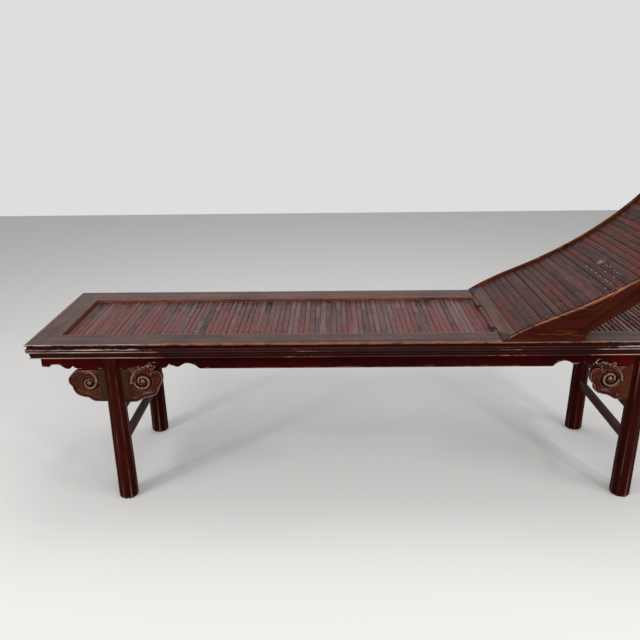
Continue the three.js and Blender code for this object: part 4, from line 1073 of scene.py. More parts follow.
def add_apron(pile, sizes, line, half_run, reach, quarters, seed):
    """An apron: an upright section with a rounded lower edge that follows the lobed line, carried
    along the board. Points past the mitre are drawn back to it. Tone marks its redder ends, painted
    light, and wear in spots along its lower edge paints glints."""
    dense = np.arange(-half_run, half_run, APRON_STEP)
    lobes = np.interp(dense, line[:, 0], line[:, 1], left=line[0, 1], right=line[-1, 1])
    level = np.abs(np.gradient(lobes)) > 1e-7
    keep = level | np.roll(level, 1) | np.roll(level, -1) | (np.arange(len(dense)) % 12 == 0)
    keep[-1] = True
    x, bottom = dense[keep][:, None], lobes[keep][:, None]
    radius, thick = APRON_EDGE_RADIUS, sizes.apron_thickness
    turn = np.linspace(0, np.pi / 2, EDGE_ROWS)
    rounded, face = radius - radius * np.sin(turn), np.zeros(FACE_ROWS)
    deep = np.concatenate([[thick - BACK_CHAMFER], rounded, face, [thick], [thick]])[None]
    rise = np.concatenate([[0.0], radius - radius * np.cos(turn), face, [0.0], [BACK_CHAMFER]])
    climb = np.linspace(FIRST_ROW_SHARE, 1, FACE_ROWS)
    share = np.concatenate([np.zeros(EDGE_ROWS + 1), climb, [1.0], [0.0]])
    top = apron_high.z
    z = bottom + rise + (top - bottom - rise) * share
    above = z - bottom
    bead = BEAD_HEIGHT * bell(above - BEAD_PLACE, BEAD_REACH)
    y = deep + np.where(deep < 0.0001, wander(x, seed) * sizes.unevenness * 0.6 - bead, 0)
    edge = half_run - np.maximum(y, 0) - sizes.joint_gap / 2
    wide = np.clip(x, -edge, edge)
    near_lobes = np.abs(x) > np.abs(line[len(line) // 2, 0]) - 0.01
    # Wear along the lower edge, in spots near the lobes, paints glints on the rounded edge
    spots = np.clip(0.3 + 0.9 * wander(x, seed, 0.05, 3), 0, 1)
    wear = bell(above, EDGE_GLINT_REACH) * np.where(near_lobes, spots, 0.5)
    dirt = smooth_step(0.01, 0.0, top - z) * 0.6
    # tone: painted light on the ends
    tone = smooth_step(*PAINTED_LIGHT_END_SHARES, np.abs(wide) / half_run) * 0.7
    points = quarter_turned(stacked(wide, y - reach, z), quarters)
    add_tubes(pile, points, wear=wear, dirt=dirt, grain=stacked(wide, z, seed * 0.53), tone=tone)


class BENCH_OT_aprons(bpy.types.Operator):
    """Builds the four lobed aprons"""

    bl_idname = "bench.aprons"
    bl_label = "Aprons"

    def execute(self, context):
        sizes = context.scene.bench_sizes
        finish = oxblood_finish(context.scene.bench_colours)
        long_line = apron_line(sizes, -half_length, -leg_axis(sizes)[0])
        short_line = apron_line(sizes, -half_width)
        long_board = (long_line, apron_half_length, -apron_front)
        short_board = (short_line, -apron_front, apron_half_length)
        boards = (
            ("front_apron", long_board), ("head_end_apron", short_board),
            ("rear_apron", long_board), ("foot_end_apron", short_board),
        )
        for quarters, (node, board) in enumerate(boards):
            pile = pile_of(add_apron, sizes, *board, quarters, 61 + quarters)
            make_piece("lobed_" + node, pile, finish, "bench", [node])
        return {"FINISHED"}


def leg_axis(sizes):
    """X and Y of the head end's leg at its top: the foot's middle less the splay, and the apron's middle."""
    foot = (leg_low.x + leg_high.x) / 2
    return foot - sizes.leg_splay, -apron_front - sizes.apron_thickness / 2


def nearest_on_line(x, z, line, closed):
    """Distance from points to a line of segments, the nearest point and its place along the line.
    Each foot is the point's shadow on the segment, held between its ends."""
    end = np.roll(line, -1, 0) if closed else line[1:]
    start = line[: len(end)]
    step = end - start
    best = np.full(x.shape, np.inf)
    foot_x, foot_z, place = np.zeros(x.shape), np.zeros(x.shape), np.zeros(x.shape)
    for k in range(len(step)):
        size = max(step[k] @ step[k], 1e-18)
        t = np.clip(((x - start[k, 0]) * step[k, 0] + (z - start[k, 1]) * step[k, 1]) / size, 0, 1)
        px, pz = start[k, 0] + t * step[k, 0], start[k, 1] + t * step[k, 1]
        gap = (x - px) ** 2 + (z - pz) ** 2
        closer = gap < best
        best = np.where(closer, gap, best)
        foot_x, foot_z = np.where(closer, px, foot_x), np.where(closer, pz, foot_z)
        place = np.where(closer, k + t, place)
    return np.sqrt(best), foot_x, foot_z, place / len(step)


def inside_line(x, z, line):
    """True where a point is inside a closed line: it crosses the line an odd number of times going up."""
    inside = np.zeros(x.shape, bool)
    for (ax, az), (bx, bz) in zip(line, np.roll(line, -1, 0)):
        across = (ax > x) != (bx > x)
        level = az + (x - ax) * (bz - az) / (bx - ax if bx != ax else 1e-12)
        inside ^= across & (z < level)
    return inside


# An inner outline: points of the apron's lobes that it follows, room past the leaf's tip, and the
# step to the corner there
LOBE_STRIDE, LOBE_POINTS = 4, 10
TIP_ROOM = 0.004
TIP_STEP = (0.003, 0.008)


def spandrel_outline(sizes, inner):
    """Outline of a spandrel in X from the leg's axis and Z from the apron's edge. An inner one runs
    up behind the leaf and follows the apron's lobes there."""
    scale = (sizes.spandrel_reach, -sizes.spandrel_drop)
    gap = sizes.joint_gap
    head = lobed(INNER_HEAD_SHARES if inner else OUTER_HEAD_SHARES, 8) * scale - (0, gap)
    parts = [[(gap, head[-1, 1]), (gap, -gap)]]
    if inner:
        followed = slice(LOBE_STRIDE, LOBE_STRIDE * (LOBE_POINTS + 1), LOBE_STRIDE)
        lobe = lobe_line(sizes, 0.0)[followed] - (0, apron_edge + 3 * gap)
        tip = (LEAF_TIP_SHARE * scale[0] + TIP_ROOM, -gap)
        corner = (tip[0] + TIP_STEP[0], tip[1] + TIP_STEP[1])
        parts += [[(sizes.leaf_start, -gap)], lobe, [corner, tip]]
    return np.vstack([*parts, head])


# The carving: places and heights in metres. An outer scroll lies nearer to the leg and higher
OUTER_VOLUTE_SHIFT = (-0.01, -0.004)
OUTER_TURNS_LESS = 0.5
CREST_HEIGHT = 0.0022
BAND_RISE_SHARES, BAND_FALL_SHARES = (0.12, 0.66), (0.8, 0.98)
OUTSIDE_DEPTH_SHARE, OUTSIDE_REACH = 0.6, 0.003
PLAIN_FADE = (0.05, 0.038)
FIELD_DEPTH, FIELD_FADE = 0.005, (0.009, 0.017)
EYE_RISE, EYE_MOAT_SHARE = 0.003, 1.45
VEIN_HEIGHT, VEIN_SPACING, VEINS = 0.0009, 0.0016, 7
VEIN_FADE_SHARES = (0.35, 0.6)
MOAT_DEPTH_SHARE, MOAT_REACH, MOAT_STAND, MOAT_BANK = 0.8, 0.0018, 0.004, 0.003
ARM_SINK, ARM_DOME = -0.0025, 0.0058
BALL_SINK, BALL_DOME = -0.002, 0.0062
ARM_BALL, TIP_BALL, LEAF_BALL_PLACE = 0.0042, 0.0048, (0.108, -0.0015)
# Ridge and furrow along the outline: height, distance from the outline and reach
RIM_RIDGE = (0.0018, 0.0022, 0.0012)
RIM_FURROW = (-0.0028, 0.0052, 0.0015)
RIM_ROUND = 0.0018


def dome(distance, radius):
    """Half circle's height over its radius: 1 in the middle, 0 at the radius and beyond."""
    return np.sqrt(np.clip(1 - (distance / radius) ** 2, 0, 1))


def scroll_height(sizes, x, z, depth_in, near_leg, inner):
    """Height of the scroll and of the field round it. The scroll is a spiral groove whose radius falls
    evenly with the angle; between two turns the wood is a band that slopes up to a crest near its
    inner side. Outside it lies a hollowed field, and in its middle a ball."""
    middle_x, middle_z = sizes.volute_out, -sizes.volute_drop
    outer_radius, turns = sizes.volute_radius, sizes.volute_turns
    if not inner:
        middle_x, middle_z = middle_x + OUTER_VOLUTE_SHIFT[0], middle_z + OUTER_VOLUTE_SHIFT[1]
        outer_radius *= sizes.outer_volute_share
        turns -= OUTER_TURNS_LESS
    deep, eye = sizes.carve_depth, sizes.volute_eye
    radius, angle = np.hypot(x - middle_x, z - middle_z), np.arctan2(z - middle_z, x - middle_x)
    pitch = (outer_radius - eye) / turns
    wound = (outer_radius - radius) / pitch - (angle / (2 * np.pi) - 0.5) % 1
    part = wound - np.floor(wound)
    rising, falling = smooth_step(*BAND_RISE_SHARES, part), smooth_step(*BAND_FALL_SHARES, part)
    band = -deep + (deep + CREST_HEIGHT) * rising * (1 - falling)
    outside = -OUTSIDE_DEPTH_SHARE * deep * bell(wound * pitch, OUTSIDE_REACH)
    field = -FIELD_DEPTH * smooth_step(*FIELD_FADE, depth_in) * (1 - near_leg)
    height = np.where(wound >= 0, band, np.minimum(field, outside))
    height = np.where(radius < eye * EYE_MOAT_SHARE, -deep, height)
    return np.where(radius < eye, -deep + (deep + EYE_RISE) * dome(radius, eye), height)


def carving_height(sizes, x, z, depth_in, inner):
    """Height of the carved face above the plate's plain face. The arm that rises from the scroll's
    start, its knob and the balls are domes round their middle lines, and they lie over the scroll.
    A fine ridge and a furrow follow the outline, whose edge is rounded."""
    near_leg = smooth_step(*PLAIN_FADE, x)
    height = scroll_height(sizes, x, z, depth_in, near_leg, inner)
    scale = (sizes.spandrel_reach, -sizes.spandrel_drop)
    arm = catmull_rom(np.array(LEAF_SHARES if inner else HOOK_SHARES) * scale, 6)
    widths = np.array(LEAF_WIDTH_SHARES if inner else HOOK_WIDTH_SHARES)
    gap, _, _, place = nearest_on_line(x, z, arm, False)
    half = np.interp(place, np.linspace(0, 1, len(widths)), widths) * sizes.leaf_half_width
    arm_dome = dome(gap, half)
    ripple = np.sin(place * 2 * np.pi * VEINS + gap / VEIN_SPACING)
    veins = VEIN_HEIGHT * ripple * smooth_step(*VEIN_FADE_SHARES, place) * inner
    moat = -MOAT_DEPTH_SHARE * sizes.carve_depth * bell(gap - half, MOAT_REACH) * (gap > half)
    height = np.minimum(height, moat + MOAT_BANK * (gap > half + MOAT_STAND))
    height = np.where(gap < half, ARM_SINK + (ARM_DOME + veins) * arm_dome, height)
    tip = LEAF_BALL_PLACE if inner else arm[-1]
    for (ball_x, ball_z), radius in ((arm[0], ARM_BALL), (tip, TIP_BALL)):
        away = np.hypot(x - ball_x, z - ball_z)
        ball = BALL_SINK + BALL_DOME * dome(away, radius)
        height = np.where(away < radius, np.maximum(height, ball), height)
    for rise, distance, reach in (RIM_RIDGE, RIM_FURROW):
        height = height + rise * bell(depth_in - distance, reach) * (1 - near_leg) * (gap > half)
    near = np.clip(RIM_ROUND - depth_in, 0, RIM_ROUND)
    return height - (RIM_ROUND - np.sqrt(np.maximum(RIM_ROUND**2 - near**2, 0)))


def blurred(values, reach):
    """A grid of values, each averaged with its neighbours by weights that fall off as a bell curve."""
    steps = np.arange(-2 * reach, 2 * reach + 1)
    weights = bell(steps, reach)
    weights = weights / weights.sum()
    for axis in (0, 1):
        values = sum(weight * np.roll(values, step, axis) for weight, step in zip(weights, steps))
    return values


# Where the carved face counts as raised, sunk, deep or low, in metres
RAISED_FADE = (0.0002, 0.0012)
SUNK_FADE = (-0.0002, -0.0016)
DEEP_FADE = (-0.003, -0.007)
LOW_PART_FADE = (0.06, 0.09)


def carved_plate(sizes, inner):
    """A carved spandrel as points, faces and values. Its faces are the squares of a grid whose
    middles lie inside the outline. Points at the border are drawn on to the outline. What stands
    above its surroundings is rubbed, with a painted highlight; what lies below them is darkened,
    old dirt and painted shade; and tone marks the plain part."""
    outline = spandrel_outline(sizes, inner)
    step = sizes.carve_step
    low, high = outline.min(0) - step, outline.max(0) + step
    xs, zs = np.arange(low[0], high[0] + step, step), np.arange(low[1], high[1] + step, step)
    x, z = np.meshgrid(xs, zs, indexing="ij")
    gap, foot_x, foot_z, _ = nearest_on_line(x, z, outline, True)
    kept = inside_line(x[:-1, :-1] + step / 2, z[:-1, :-1] + step / 2, outline)
    whole = np.zeros((len(xs) + 1, len(zs) + 1), bool)
    whole[1:-1, 1:-1] = kept
    around = np.stack([whole[:-1, :-1], whole[1:, :-1], whole[:-1, 1:], whole[1:, 1:]])
    used, border = around.any(0), around.any(0) & ~around.all(0)
    x, z = np.where(border, foot_x, x), np.where(border, foot_z, z)
    height = carving_height(sizes, x, z, np.where(border, 0, gap), inner)
    total = int(used.sum())
    number = np.full(x.shape, -1)
    number[used] = np.arange(total)
    i, j = np.nonzero(kept)
    quad = np.stack([number[i, j], number[i + 1, j], number[i + 1, j + 1], number[i, j + 1]], -1)
    edges = np.vstack([quad[:, [k, (k + 1) % 4]] for k in range(4)])
    _, first, counts = np.unique(np.sort(edges, axis=1), axis=0, return_index=True, return_counts=True)
    rim = edges[first[counts == 1]]
    wall = np.stack([rim[:, 1], rim[:, 0], rim[:, 0] + total, rim[:, 1] + total], -1)
    relief, x, z = (height - blurred(height, 3))[used], x[used], z[used]
    height = height[used]
    points = np.vstack([stacked(x, -height, z), stacked(x, sizes.apron_thickness, z)])
    # Sunk and deep parts: old dirt and painted shade in the hollows
    sunk = smooth_step(*SUNK_FADE, relief) + 0.5 * smooth_step(*DEEP_FADE, height)
    plain = smooth_step(*PLAIN_FADE, x) + 0.7 * smooth_step(*LOW_PART_FADE, -z)
    # Raised parts: rubbed, and a painted highlight on the crests
    rubbed = smooth_step(*RAISED_FADE, relief)
    masks = {"wear": rubbed, "dirt": np.clip(sunk, 0, 1), "tone": np.clip(plain, 0, 1)}
    masks = {key: np.concatenate([mask, np.zeros(total)]) for key, mask in masks.items()}
    return points, [np.vstack([quad, quad[:, ::-1] + total, wall])], masks


class BENCH_OT_spandrels(bpy.types.Operator):
    """Builds the eight carved cloud-scroll spandrels"""

    bl_idname = "bench.spandrels"
    bl_label = "Spandrels"

    def execute(self, context):
        sizes = context.scene.bench_sizes
        finish = carving_finish(context.scene.bench_colours)
        axis_x = leg_axis(sizes)[0]
        plates = {"inner": carved_plate(sizes, True), "outer": carved_plate(sizes, False)}
        for number, (end, end_sign) in enumerate(ENDS.items()):
            plain_share = 0.3 if end == "head" else 1.0
            for side, side_sign in SIDES.items():
                for kind, (points, faces, masks) in plates.items():
                    sign_x = -end_sign if kind == "inner" else end_sign
                    placed = points * (sign_x, -side_sign, 1)
                    placed = placed + (end_sign * axis_x, -side_sign * apron_front, apron_edge)
                    seed = number + 0.3 * side_sign + (2 if kind == "inner" else 0)
                    grain = stacked(placed[:, 2], placed[:, 0], seed)
                    pile = Pile()
                    pile.add(placed, faces, **{**masks, "tone": masks["tone"] * plain_share}, grain=grain)
                    node = f"{end}_{side}_{kind}_spandrel"
                    make_piece("carved_" + node, pile, finish, "bench", [node])
        return {"FINISHED"}


# A leg: points round a reed, rows up its length, how narrow the painted highlight on each reed's crown is,
# and how its wear and its scuffed foot fade
REED_POINTS = 14
LEG_ROWS = 60
CROWN_HIGHLIGHT_SHARPNESS = 24
GROOVE_SHARPNESS = 2.6
SCUFF_FADE = (0.09, 0.0)
FOOT_WEAR_REACH = 0.006


def add_leg(pile, sizes, end_sign, side_sign, seed):
    """A reeded leg: a circle whose radius falls towards each groove by a power of the distance from
    the reed's crown, carried up a slightly splayed and tapering axis, with a rounded foot."""
    axis_x, axis_y = leg_axis(sizes)
    angle = np.linspace(0, 2 * np.pi, sizes.reed_count * REED_POINTS, endpoint=False)
    reed = np.abs(np.sin((angle - sizes.reed_turn) * sizes.reed_count / 2))
    groove = (1 - reed) ** GROOVE_SHARPNESS
    turn = np.linspace(0, np.pi / 2, 7)
    foot_z = sizes.foot_round * (1 - np.cos(turn))
    z = np.concatenate([foot_z, np.linspace(sizes.foot_round, leg_top, LEG_ROWS)[1:]])[:, None]
    inset = np.concatenate([sizes.foot_round * (1 - np.sin(turn)), np.zeros(LEG_ROWS - 1)])[:, None]
    share = z / leg_top
    radius = sizes.leg_foot_radius + (sizes.leg_top_radius - sizes.leg_foot_radius) * share**1.5 - inset
    ripple = wander(z + angle * 0.02, seed, 0.3) * sizes.unevenness * 0.5
    rim = radius - sizes.reed_depth * groove + ripple
    x = end_sign * (axis_x + sizes.leg_splay * (1 - share) + rim * np.cos(angle))
    y = side_sign * (axis_y + rim * np.sin(angle))
    # crown: a painted highlight along each reed's crown
    crown = reed**CROWN_HIGHLIGHT_SHARPNESS * np.clip(0.85 + 0.5 * wander(z + angle, seed + 5, 0.4), 0.3, 1)
    scuffed = smooth_step(*SCUFF_FADE, z)
    wear = np.clip(0.7 * crown + 0.2 * scuffed + 0.3 * bell(z, FOOT_WEAR_REACH), 0, 1)
    # dirt: darker in the grooves between reeds, old dirt and painted shade, and dirt on the scuffed foot
    dirt = np.clip(groove * 0.8 + 0.3 * scuffed, 0, 1)
    grain = stacked(z, angle * sizes.leg_foot_radius, seed * 0.7)
    add_tubes(pile, stacked(x, y, z), wear=wear, dirt=dirt, grain=grain)


class BENCH_OT_legs(bpy.types.Operator):
    """Builds the four reeded legs"""

    bl_idname = "bench.legs"
    bl_label = "Legs"

    def execute(self, context):
        sizes = context.scene.bench_sizes
        finish = leg_finish(context.scene.bench_colours)
        for end, end_sign in ENDS.items():
            for side, side_sign in SIDES.items():
                pile = pile_of(add_leg, sizes, end_sign, side_sign, 90 + 3 * end_sign + side_sign)
                node = f"{end}_{side}_leg"
                make_piece("reeded_" + node, pile, finish, "bench", [node])
        return {"FINISHED"}


class BENCH_OT_stretchers(bpy.types.Operator):
    """Builds the four stretchers between the legs"""

    bl_idname = "bench.stretchers"
    bl_label = "Stretchers"

    def execute(self, context):
        sizes = context.scene.bench_sizes
        finish = leg_finish(context.scene.bench_colours)
        for end in ENDS:
            for seed, level in enumerate(("upper", "lower")):
                node = f"{end}_{level}_stretcher"
                # Tone 0.9: painted sheen on the upper faces
                pile = pile_of(add_bar, *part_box(node), sizes.stretcher_round, seed, 0.9)
                make_piece("rounded_" + node, pile, finish, "bench", [node])
        return {"FINISHED"}


class Nodes:
    """Puts nodes and links into a shader node tree."""

    def __init__(self, tree):
        self.tree = tree

    def join(self, socket, value):
        """Links a socket, or sets its own value."""
        if isinstance(value, bpy.types.NodeSocket):
            self.tree.links.new(value, socket)
        else:
            socket.default_value = value

    def add(self, kind, inputs=(), **settings):
        """Adds a node and returns its outputs. Inputs are (socket, value or socket to link) pairs."""
        node = self.tree.nodes.new("ShaderNode" + kind)
        for key, value in settings.items():
            setattr(node, key, value)
        for key, value in inputs:
            self.join(node.inputs[key], value)
        return node.outputs

    def math(self, operation, *values):
        """A calculation with one, two or three values."""
        return self.add("Math", enumerate(values), operation=operation)[0]

    def scaled(self, value, factor, offset):
        """A value times a factor, plus an offset."""
        return self.math("MULTIPLY_ADD", value, factor, offset)

    def stretch(self, value, low, high):
        """Maps a value from 0 to 1 on to low to high."""
        return self.scaled(value, high - low, low)

    def clamp(self, value):
        """Holds a value between 0 and 1."""
        return self.add("Clamp", [("Value", value)])[0]

    def mix(self, share, first, second):
        """Mixes two colours by a share."""
        return self.add("Mix", [(0, share), (6, first), (7, second)], data_type="RGBA")[2]

    def noise(self, place, scale, detail=2.0, roughness=0.5, distortion=0.0):
        """Noise about 0.5, with the scale in waves per metre."""
        inputs = [("Vector", place), ("Scale", scale), ("Detail", detail), ("Roughness", roughness)]
        return self.add("TexNoise", [*inputs, ("Distortion", distortion)])["Fac"]

    def separate(self, vector):
        return self.add("SeparateXYZ", [("Vector", vector)])

    def combine(self, x, y, z):
        return self.add("CombineXYZ", [("X", x), ("Y", y), ("Z", z)])[0]

    def drawn_out(self, grain, factor):
        """The place along and across the grain, shortened along it, so that noise is drawn out."""
        parts = self.separate(grain)
        return self.combine(self.math("DIVIDE", parts["X"], factor), parts["Y"], parts["Z"])

    def seen(self):
        """1 where a surface is seen, also in a mirror or through glass, and 0 where it only gives light."""
        paths = self.add("LightPath")
        seen = self.math("MAXIMUM", paths["Is Camera Ray"], paths["Is Glossy Ray"])
        return self.math("MAXIMUM", seen, paths["Is Transmission Ray"])


class SharedGroup(Nodes):
    """A node group under construction: its inputs are named with their defaults, or None for a vector."""

    def __init__(self, name, inputs, outputs):
        super().__init__(bpy.data.node_groups.new(name, "ShaderNodeTree"))
        for label, default in inputs.items():
            kind = "NodeSocketVector" if default is None else "NodeSocketFloat"
            socket = self.tree.interface.new_socket(label, in_out="INPUT", socket_type=kind)
            if default is not None:
                socket.default_value = default
        for label in outputs:
            self.tree.interface.new_socket(label, in_out="OUTPUT", socket_type="NodeSocketFloat")
        self.given = self.tree.nodes.new("NodeGroupInput").outputs
        self.result = self.tree.nodes.new("NodeGroupOutput").inputs

    def give(self, **values):
        """Joins values to the outputs of their names and returns the group's tree."""
        for key, value in values.items():
            self.join(self.result[key], value)
        return self.tree


def build_edge_wear(name):
    """Breaks a wear mask up with coarse and fine noise, so that lacquer is rubbed off in patches."""
    made = SharedGroup(name, {"Place": None, "Mask": 0.0, "Amount": 0.5, "Patch size": 0.03}, ["Wear"])
    given = made.given
    scale = made.math("DIVIDE", 1.0, given["Patch size"])
    coarse = made.noise(given["Place"], scale, 5.0, 0.65)
    fine = made.noise(given["Place"], made.math("MULTIPLY", scale, 9.0))
    level = made.math("ADD", made.scaled(fine, 0.3, coarse), made.math("ADD", given["Amount"], -1.35))
    raised = made.scaled(given["Mask"], 0.5, level)
    patches = made.clamp(made.math("MULTIPLY", raised, 6.0))
    covered = made.math("MINIMUM", made.math("MULTIPLY", given["Mask"], 2.2), 1.0)
    return made.give(Wear=made.math("MULTIPLY", patches, covered))


def build_wood_grain(name):
    """Noise drawn out along the grain: fine pores, broad bands and their height."""
    made = SharedGroup(name, {"Grain": None, "Draw": 18.0, "Fineness": 260.0}, ["Bands", "Pores", "Height"])
    given = made.given
    drawn = made.drawn_out(given["Grain"], given["Draw"])
    pores = made.noise(drawn, given["Fineness"], 4.0, 0.6)
    bands = made.noise(drawn, made.math("MULTIPLY", given["Fineness"], 0.14), 3.0, distortion=0.6)
    return made.give(Bands=bands, Pores=pores, Height=made.scaled(bands, 0.5, pores))


def build_old_lacquer(name):
    """Cloudy shade, haze and fine crazing of old lacquer, from noise of three sizes."""
    made = SharedGroup(name, {"Place": None, "Cloud size": 0.12}, ["Cloud", "Haze", "Height"])
    place = made.given["Place"]
    scale = made.math("DIVIDE", 1.0, made.given["Cloud size"])
    haze = made.noise(place, made.math("MULTIPLY", scale, 22.0), 3.0)
    crazing = made.noise(place, made.math("MULTIPLY", scale, 90.0))
    cloud = made.noise(place, scale, 6.0, 0.6)
    return made.give(Cloud=cloud, Haze=haze, Height=made.scaled(crazing, 0.35, haze))


def build_dust(name):
    """Dust that lies in hollows: a hollow mask broken up by noise."""
    made = SharedGroup(name, {"Place": None, "Hollow": 0.0, "Amount": 0.5}, ["Dust"])
    broken = made.clamp(made.scaled(made.noise(made.given["Place"], 60.0, 4.0), 1.6, -0.45))
    held = made.math("MULTIPLY", broken, made.given["Hollow"])
    return made.give(Dust=made.math("MULTIPLY", held, made.given["Amount"]))


SHARED_GROUPS = {
    "Edge Wear": build_edge_wear,
    "Wood Grain": build_wood_grain,
    "Old Lacquer": build_old_lacquer,
    "Settled Dust": build_dust,
}


class Finish(Nodes):
    """A material under construction."""

    def __init__(self, name):
        self.material = bpy.data.materials.new(name)
        self.material.use_nodes = True
        super().__init__(self.material.node_tree)
        self.shader = self.tree.nodes["Principled BSDF"]

    def group(self, name, **inputs):
        """Places a shared node group, which is built on first use, with its own values."""
        node = self.tree.nodes.new("ShaderNodeGroup")
        node.node_tree = bpy.data.node_groups.get(name) or SHARED_GROUPS[name](name)
        for key, value in inputs.items():
            self.join(node.inputs[key.replace("_", " ").capitalize()], value)
        return node.outputs

    def value(self, name):
        """A value that was put on the mesh's points."""
        return self.add("Attribute", attribute_name=name)["Fac"]

    def grain(self):
        """The place along and across the grain, from the mesh's points."""
        return self.add("Attribute", attribute_name="grain")["Vector"]

    def place(self):
        """The place on the object."""
        return self.add("TexCoord")["Object"]

    def finish(self, shade, roughness, height, depth, constants=()):
        """Joins the shader up and returns the material. Constants go to the shader's own sockets."""
        bump = self.add("Bump", [("Height", height), ("Distance", depth), ("Strength", 1.0)])
        joined = [("Base Color", shade), ("Roughness", roughness), ("Normal", bump["Normal"])]
        for key, value in (*joined, *constants):
            self.join(self.shader.inputs[key], value)
        return self.material


def lacquered_wood(
    name, colours, base, *, wear, patch, gloss, rough, grain_share, draw, fineness, level, second=None,
    trail=3.0, cloud=0.12, worn="worn", pale_highlight_and_wear=None, dust=0.2, dust_colour="dust", depth=0.00025,
):
    """Old lacquer over wood: cloudy colour with the grain showing through, rubbed to a worn colour
    where the wear mask says, dusty in hollows. Gloss and rough are the roughness of kept and of
    rubbed lacquer. Base and the other colours are taken by their names. Tone mixes the second
    colour in, and hue the second worn colour. In some finishes the wear mask and the hue also paint
    highlights and glints, and the dust in hollows also paints shade."""
    material = bpy.data.materials.get(name)
    if material:
        return material
    made = Finish(name)
    place, grain = made.place(), made.grain()
    lacquer = made.group("Old Lacquer", place=place, cloud_size=cloud)
    wood = made.group("Wood Grain", grain=grain, draw=draw, fineness=fineness)
    trailing = made.drawn_out(grain, trail)
    mask = made.value("wear")
    rubbed = made.group("Edge Wear", place=trailing, mask=mask, amount=wear, patch_size=patch)["Wear"]
    settled = made.group("Settled Dust", place=place, hollow=made.value("dirt"), amount=dust)["Dust"]
    light, dark = getattr(colours, base), getattr(colours, base + "_dark")
    clouded = made.clamp(made.scaled(lacquer["Cloud"], 2.4, -0.7))
    banded = made.clamp(made.scaled(wood["Bands"], 3.0, -1.0))
    share = made.scaled(banded, grain_share, made.math("MULTIPLY", clouded, 1 - grain_share))
    shade = made.mix(share, dark, light)
    if second:
        second_shade = made.mix(share, getattr(colours, second + "_dark", dark), getattr(colours, second))
        shade = made.mix(made.value("tone"), shade, second_shade)
    worn_colour = getattr(colours, worn)
    if pale_highlight_and_wear:
        worn_colour = made.mix(made.value("hue"), worn_colour, getattr(colours, pale_highlight_and_wear))
    pored = made.clamp(made.scaled(wood["Pores"], 2.4, -0.8))
    shade = made.mix(rubbed, shade, made.mix(made.stretch(pored, 0.15, 1.0), light, worn_colour))
    shade = made.mix(settled, shade, getattr(colours, dust_colour))
    hazed = made.stretch(lacquer["Haze"], gloss - 0.06, gloss + 0.1)
    dulled = made.scaled(rubbed, rough - gloss, hazed)
    height = made.scaled(wood["Height"], 0.6, lacquer["Height"])
    return made.finish(shade, dulled, height, depth, [("Specular IOR Level", level)])


def rail_finish(colours):
    """Dark lacquer, redder on the moulding, rubbed to orange wood; pale on the beads towards the ends, a
    painted highlight, and near black in the grooves, old dirt and painted shade.
    """
    return lacquered_wood(
        "rail_lacquer_finish", colours, "rail", wear=0.46, patch=0.007, gloss=0.16, rough=0.22,
        grain_share=0.5, draw=26.0, fineness=220.0, level=0.045, second="mould", trail=4.0,
        pale_highlight_and_wear="pale", dust=1.7, dust_colour="groove", depth=0.0001,
    )


def oxblood_finish(colours):
    """Deep red lacquer of the aprons, painted lighter at their ends where light falls, with painted glints
    along the lower edge.
    """
    return lacquered_wood(
        "apron_lacquer_finish", colours, "apron", wear=0.6, patch=0.02, gloss=0.22, rough=0.26,
        grain_share=0.4, draw=20.0, fineness=240.0, level=0.012, second="apron_painted_lit_end", worn="rubbed",
        depth=0.0001,
    )


def leg_finish(colours):
    """Deep red lacquer of legs and stretchers, with a painted highlight along the reeds' crowns, a painted
    sheen on the stretchers' upper faces, and near black in the grooves, old dirt and painted shade.
    """
    return lacquered_wood(
        "leg_lacquer_finish", colours, "leg", wear=0.5, patch=0.03, gloss=0.3, rough=0.36, grain_share=0.5,
        draw=26.0, fineness=200.0, level=0.03, second="leg_top", worn="leg_highlight_and_wear", dust=1.2,
        dust_colour="groove", trail=16.0, depth=0.0001,
    )


def carving_finish(colours):
    """Red-brown lacquer with pale crests, rubbed and with a painted highlight, and black hollows, old dirt
    and painted shade.
    """
    return lacquered_wood(
        "carved_lacquer_finish", colours, "carving", wear=0.53, patch=0.008, gloss=0.16, rough=0.22,
        grain_share=0.5, draw=12.0, fineness=300.0, level=0.09, second="carving_plain", worn="rubbed",
        dust=1.8, dust_colour="groove", cloud=0.03, trail=1.0, depth=0.00015,
    )


def board_finish(colours):
    """Thin warm lacquer over plain grain, pale along the upper edge, rubbed wood with a painted highlight."""
    return lacquered_wood(
        "board_lacquer_finish", colours, "board", wear=0.48, patch=0.018, gloss=0.22, rough=0.32,
        grain_share=0.7, draw=30.0, fineness=230.0, level=0.03, second="board_inner", pale_highlight_and_wear="pale",
        cloud=0.09, trail=14.0, depth=0.0001,
    )


def crossbar_finish(colours):
    """Brown, rubbed lacquer of the back's rails."""
    return lacquered_wood(
        "crossbar_lacquer_finish", colours, "crossbar", wear=0.36, patch=0.03, gloss=0.36, rough=0.44,
        grain_share=0.8, draw=22.0, fineness=260.0, level=0.12, second="crossbar_end", cloud=0.06,
    )


def hidden_finish(colours, base):
    """Plain wood of the braces, or of the stained hinge rail. These pieces have no grain attribute, so
    the grain follows Y."""
    made = Finish(base + "_wood_finish")
    parts = made.separate(made.place())
    along_y = made.combine(parts["Y"], parts["X"], parts["Z"])
    wood = made.group("Wood Grain", grain=along_y, draw=16.0, fineness=240.0)
    share = made.clamp(made.scaled(wood["Bands"], 3.0, -1.0))
    shade = made.mix(share, getattr(colours, base + "_dark"), getattr(colours, base))
    return made.finish(shade, made.stretch(wood["Pores"], 0.6, 0.8), wood["Height"], 0.0003)


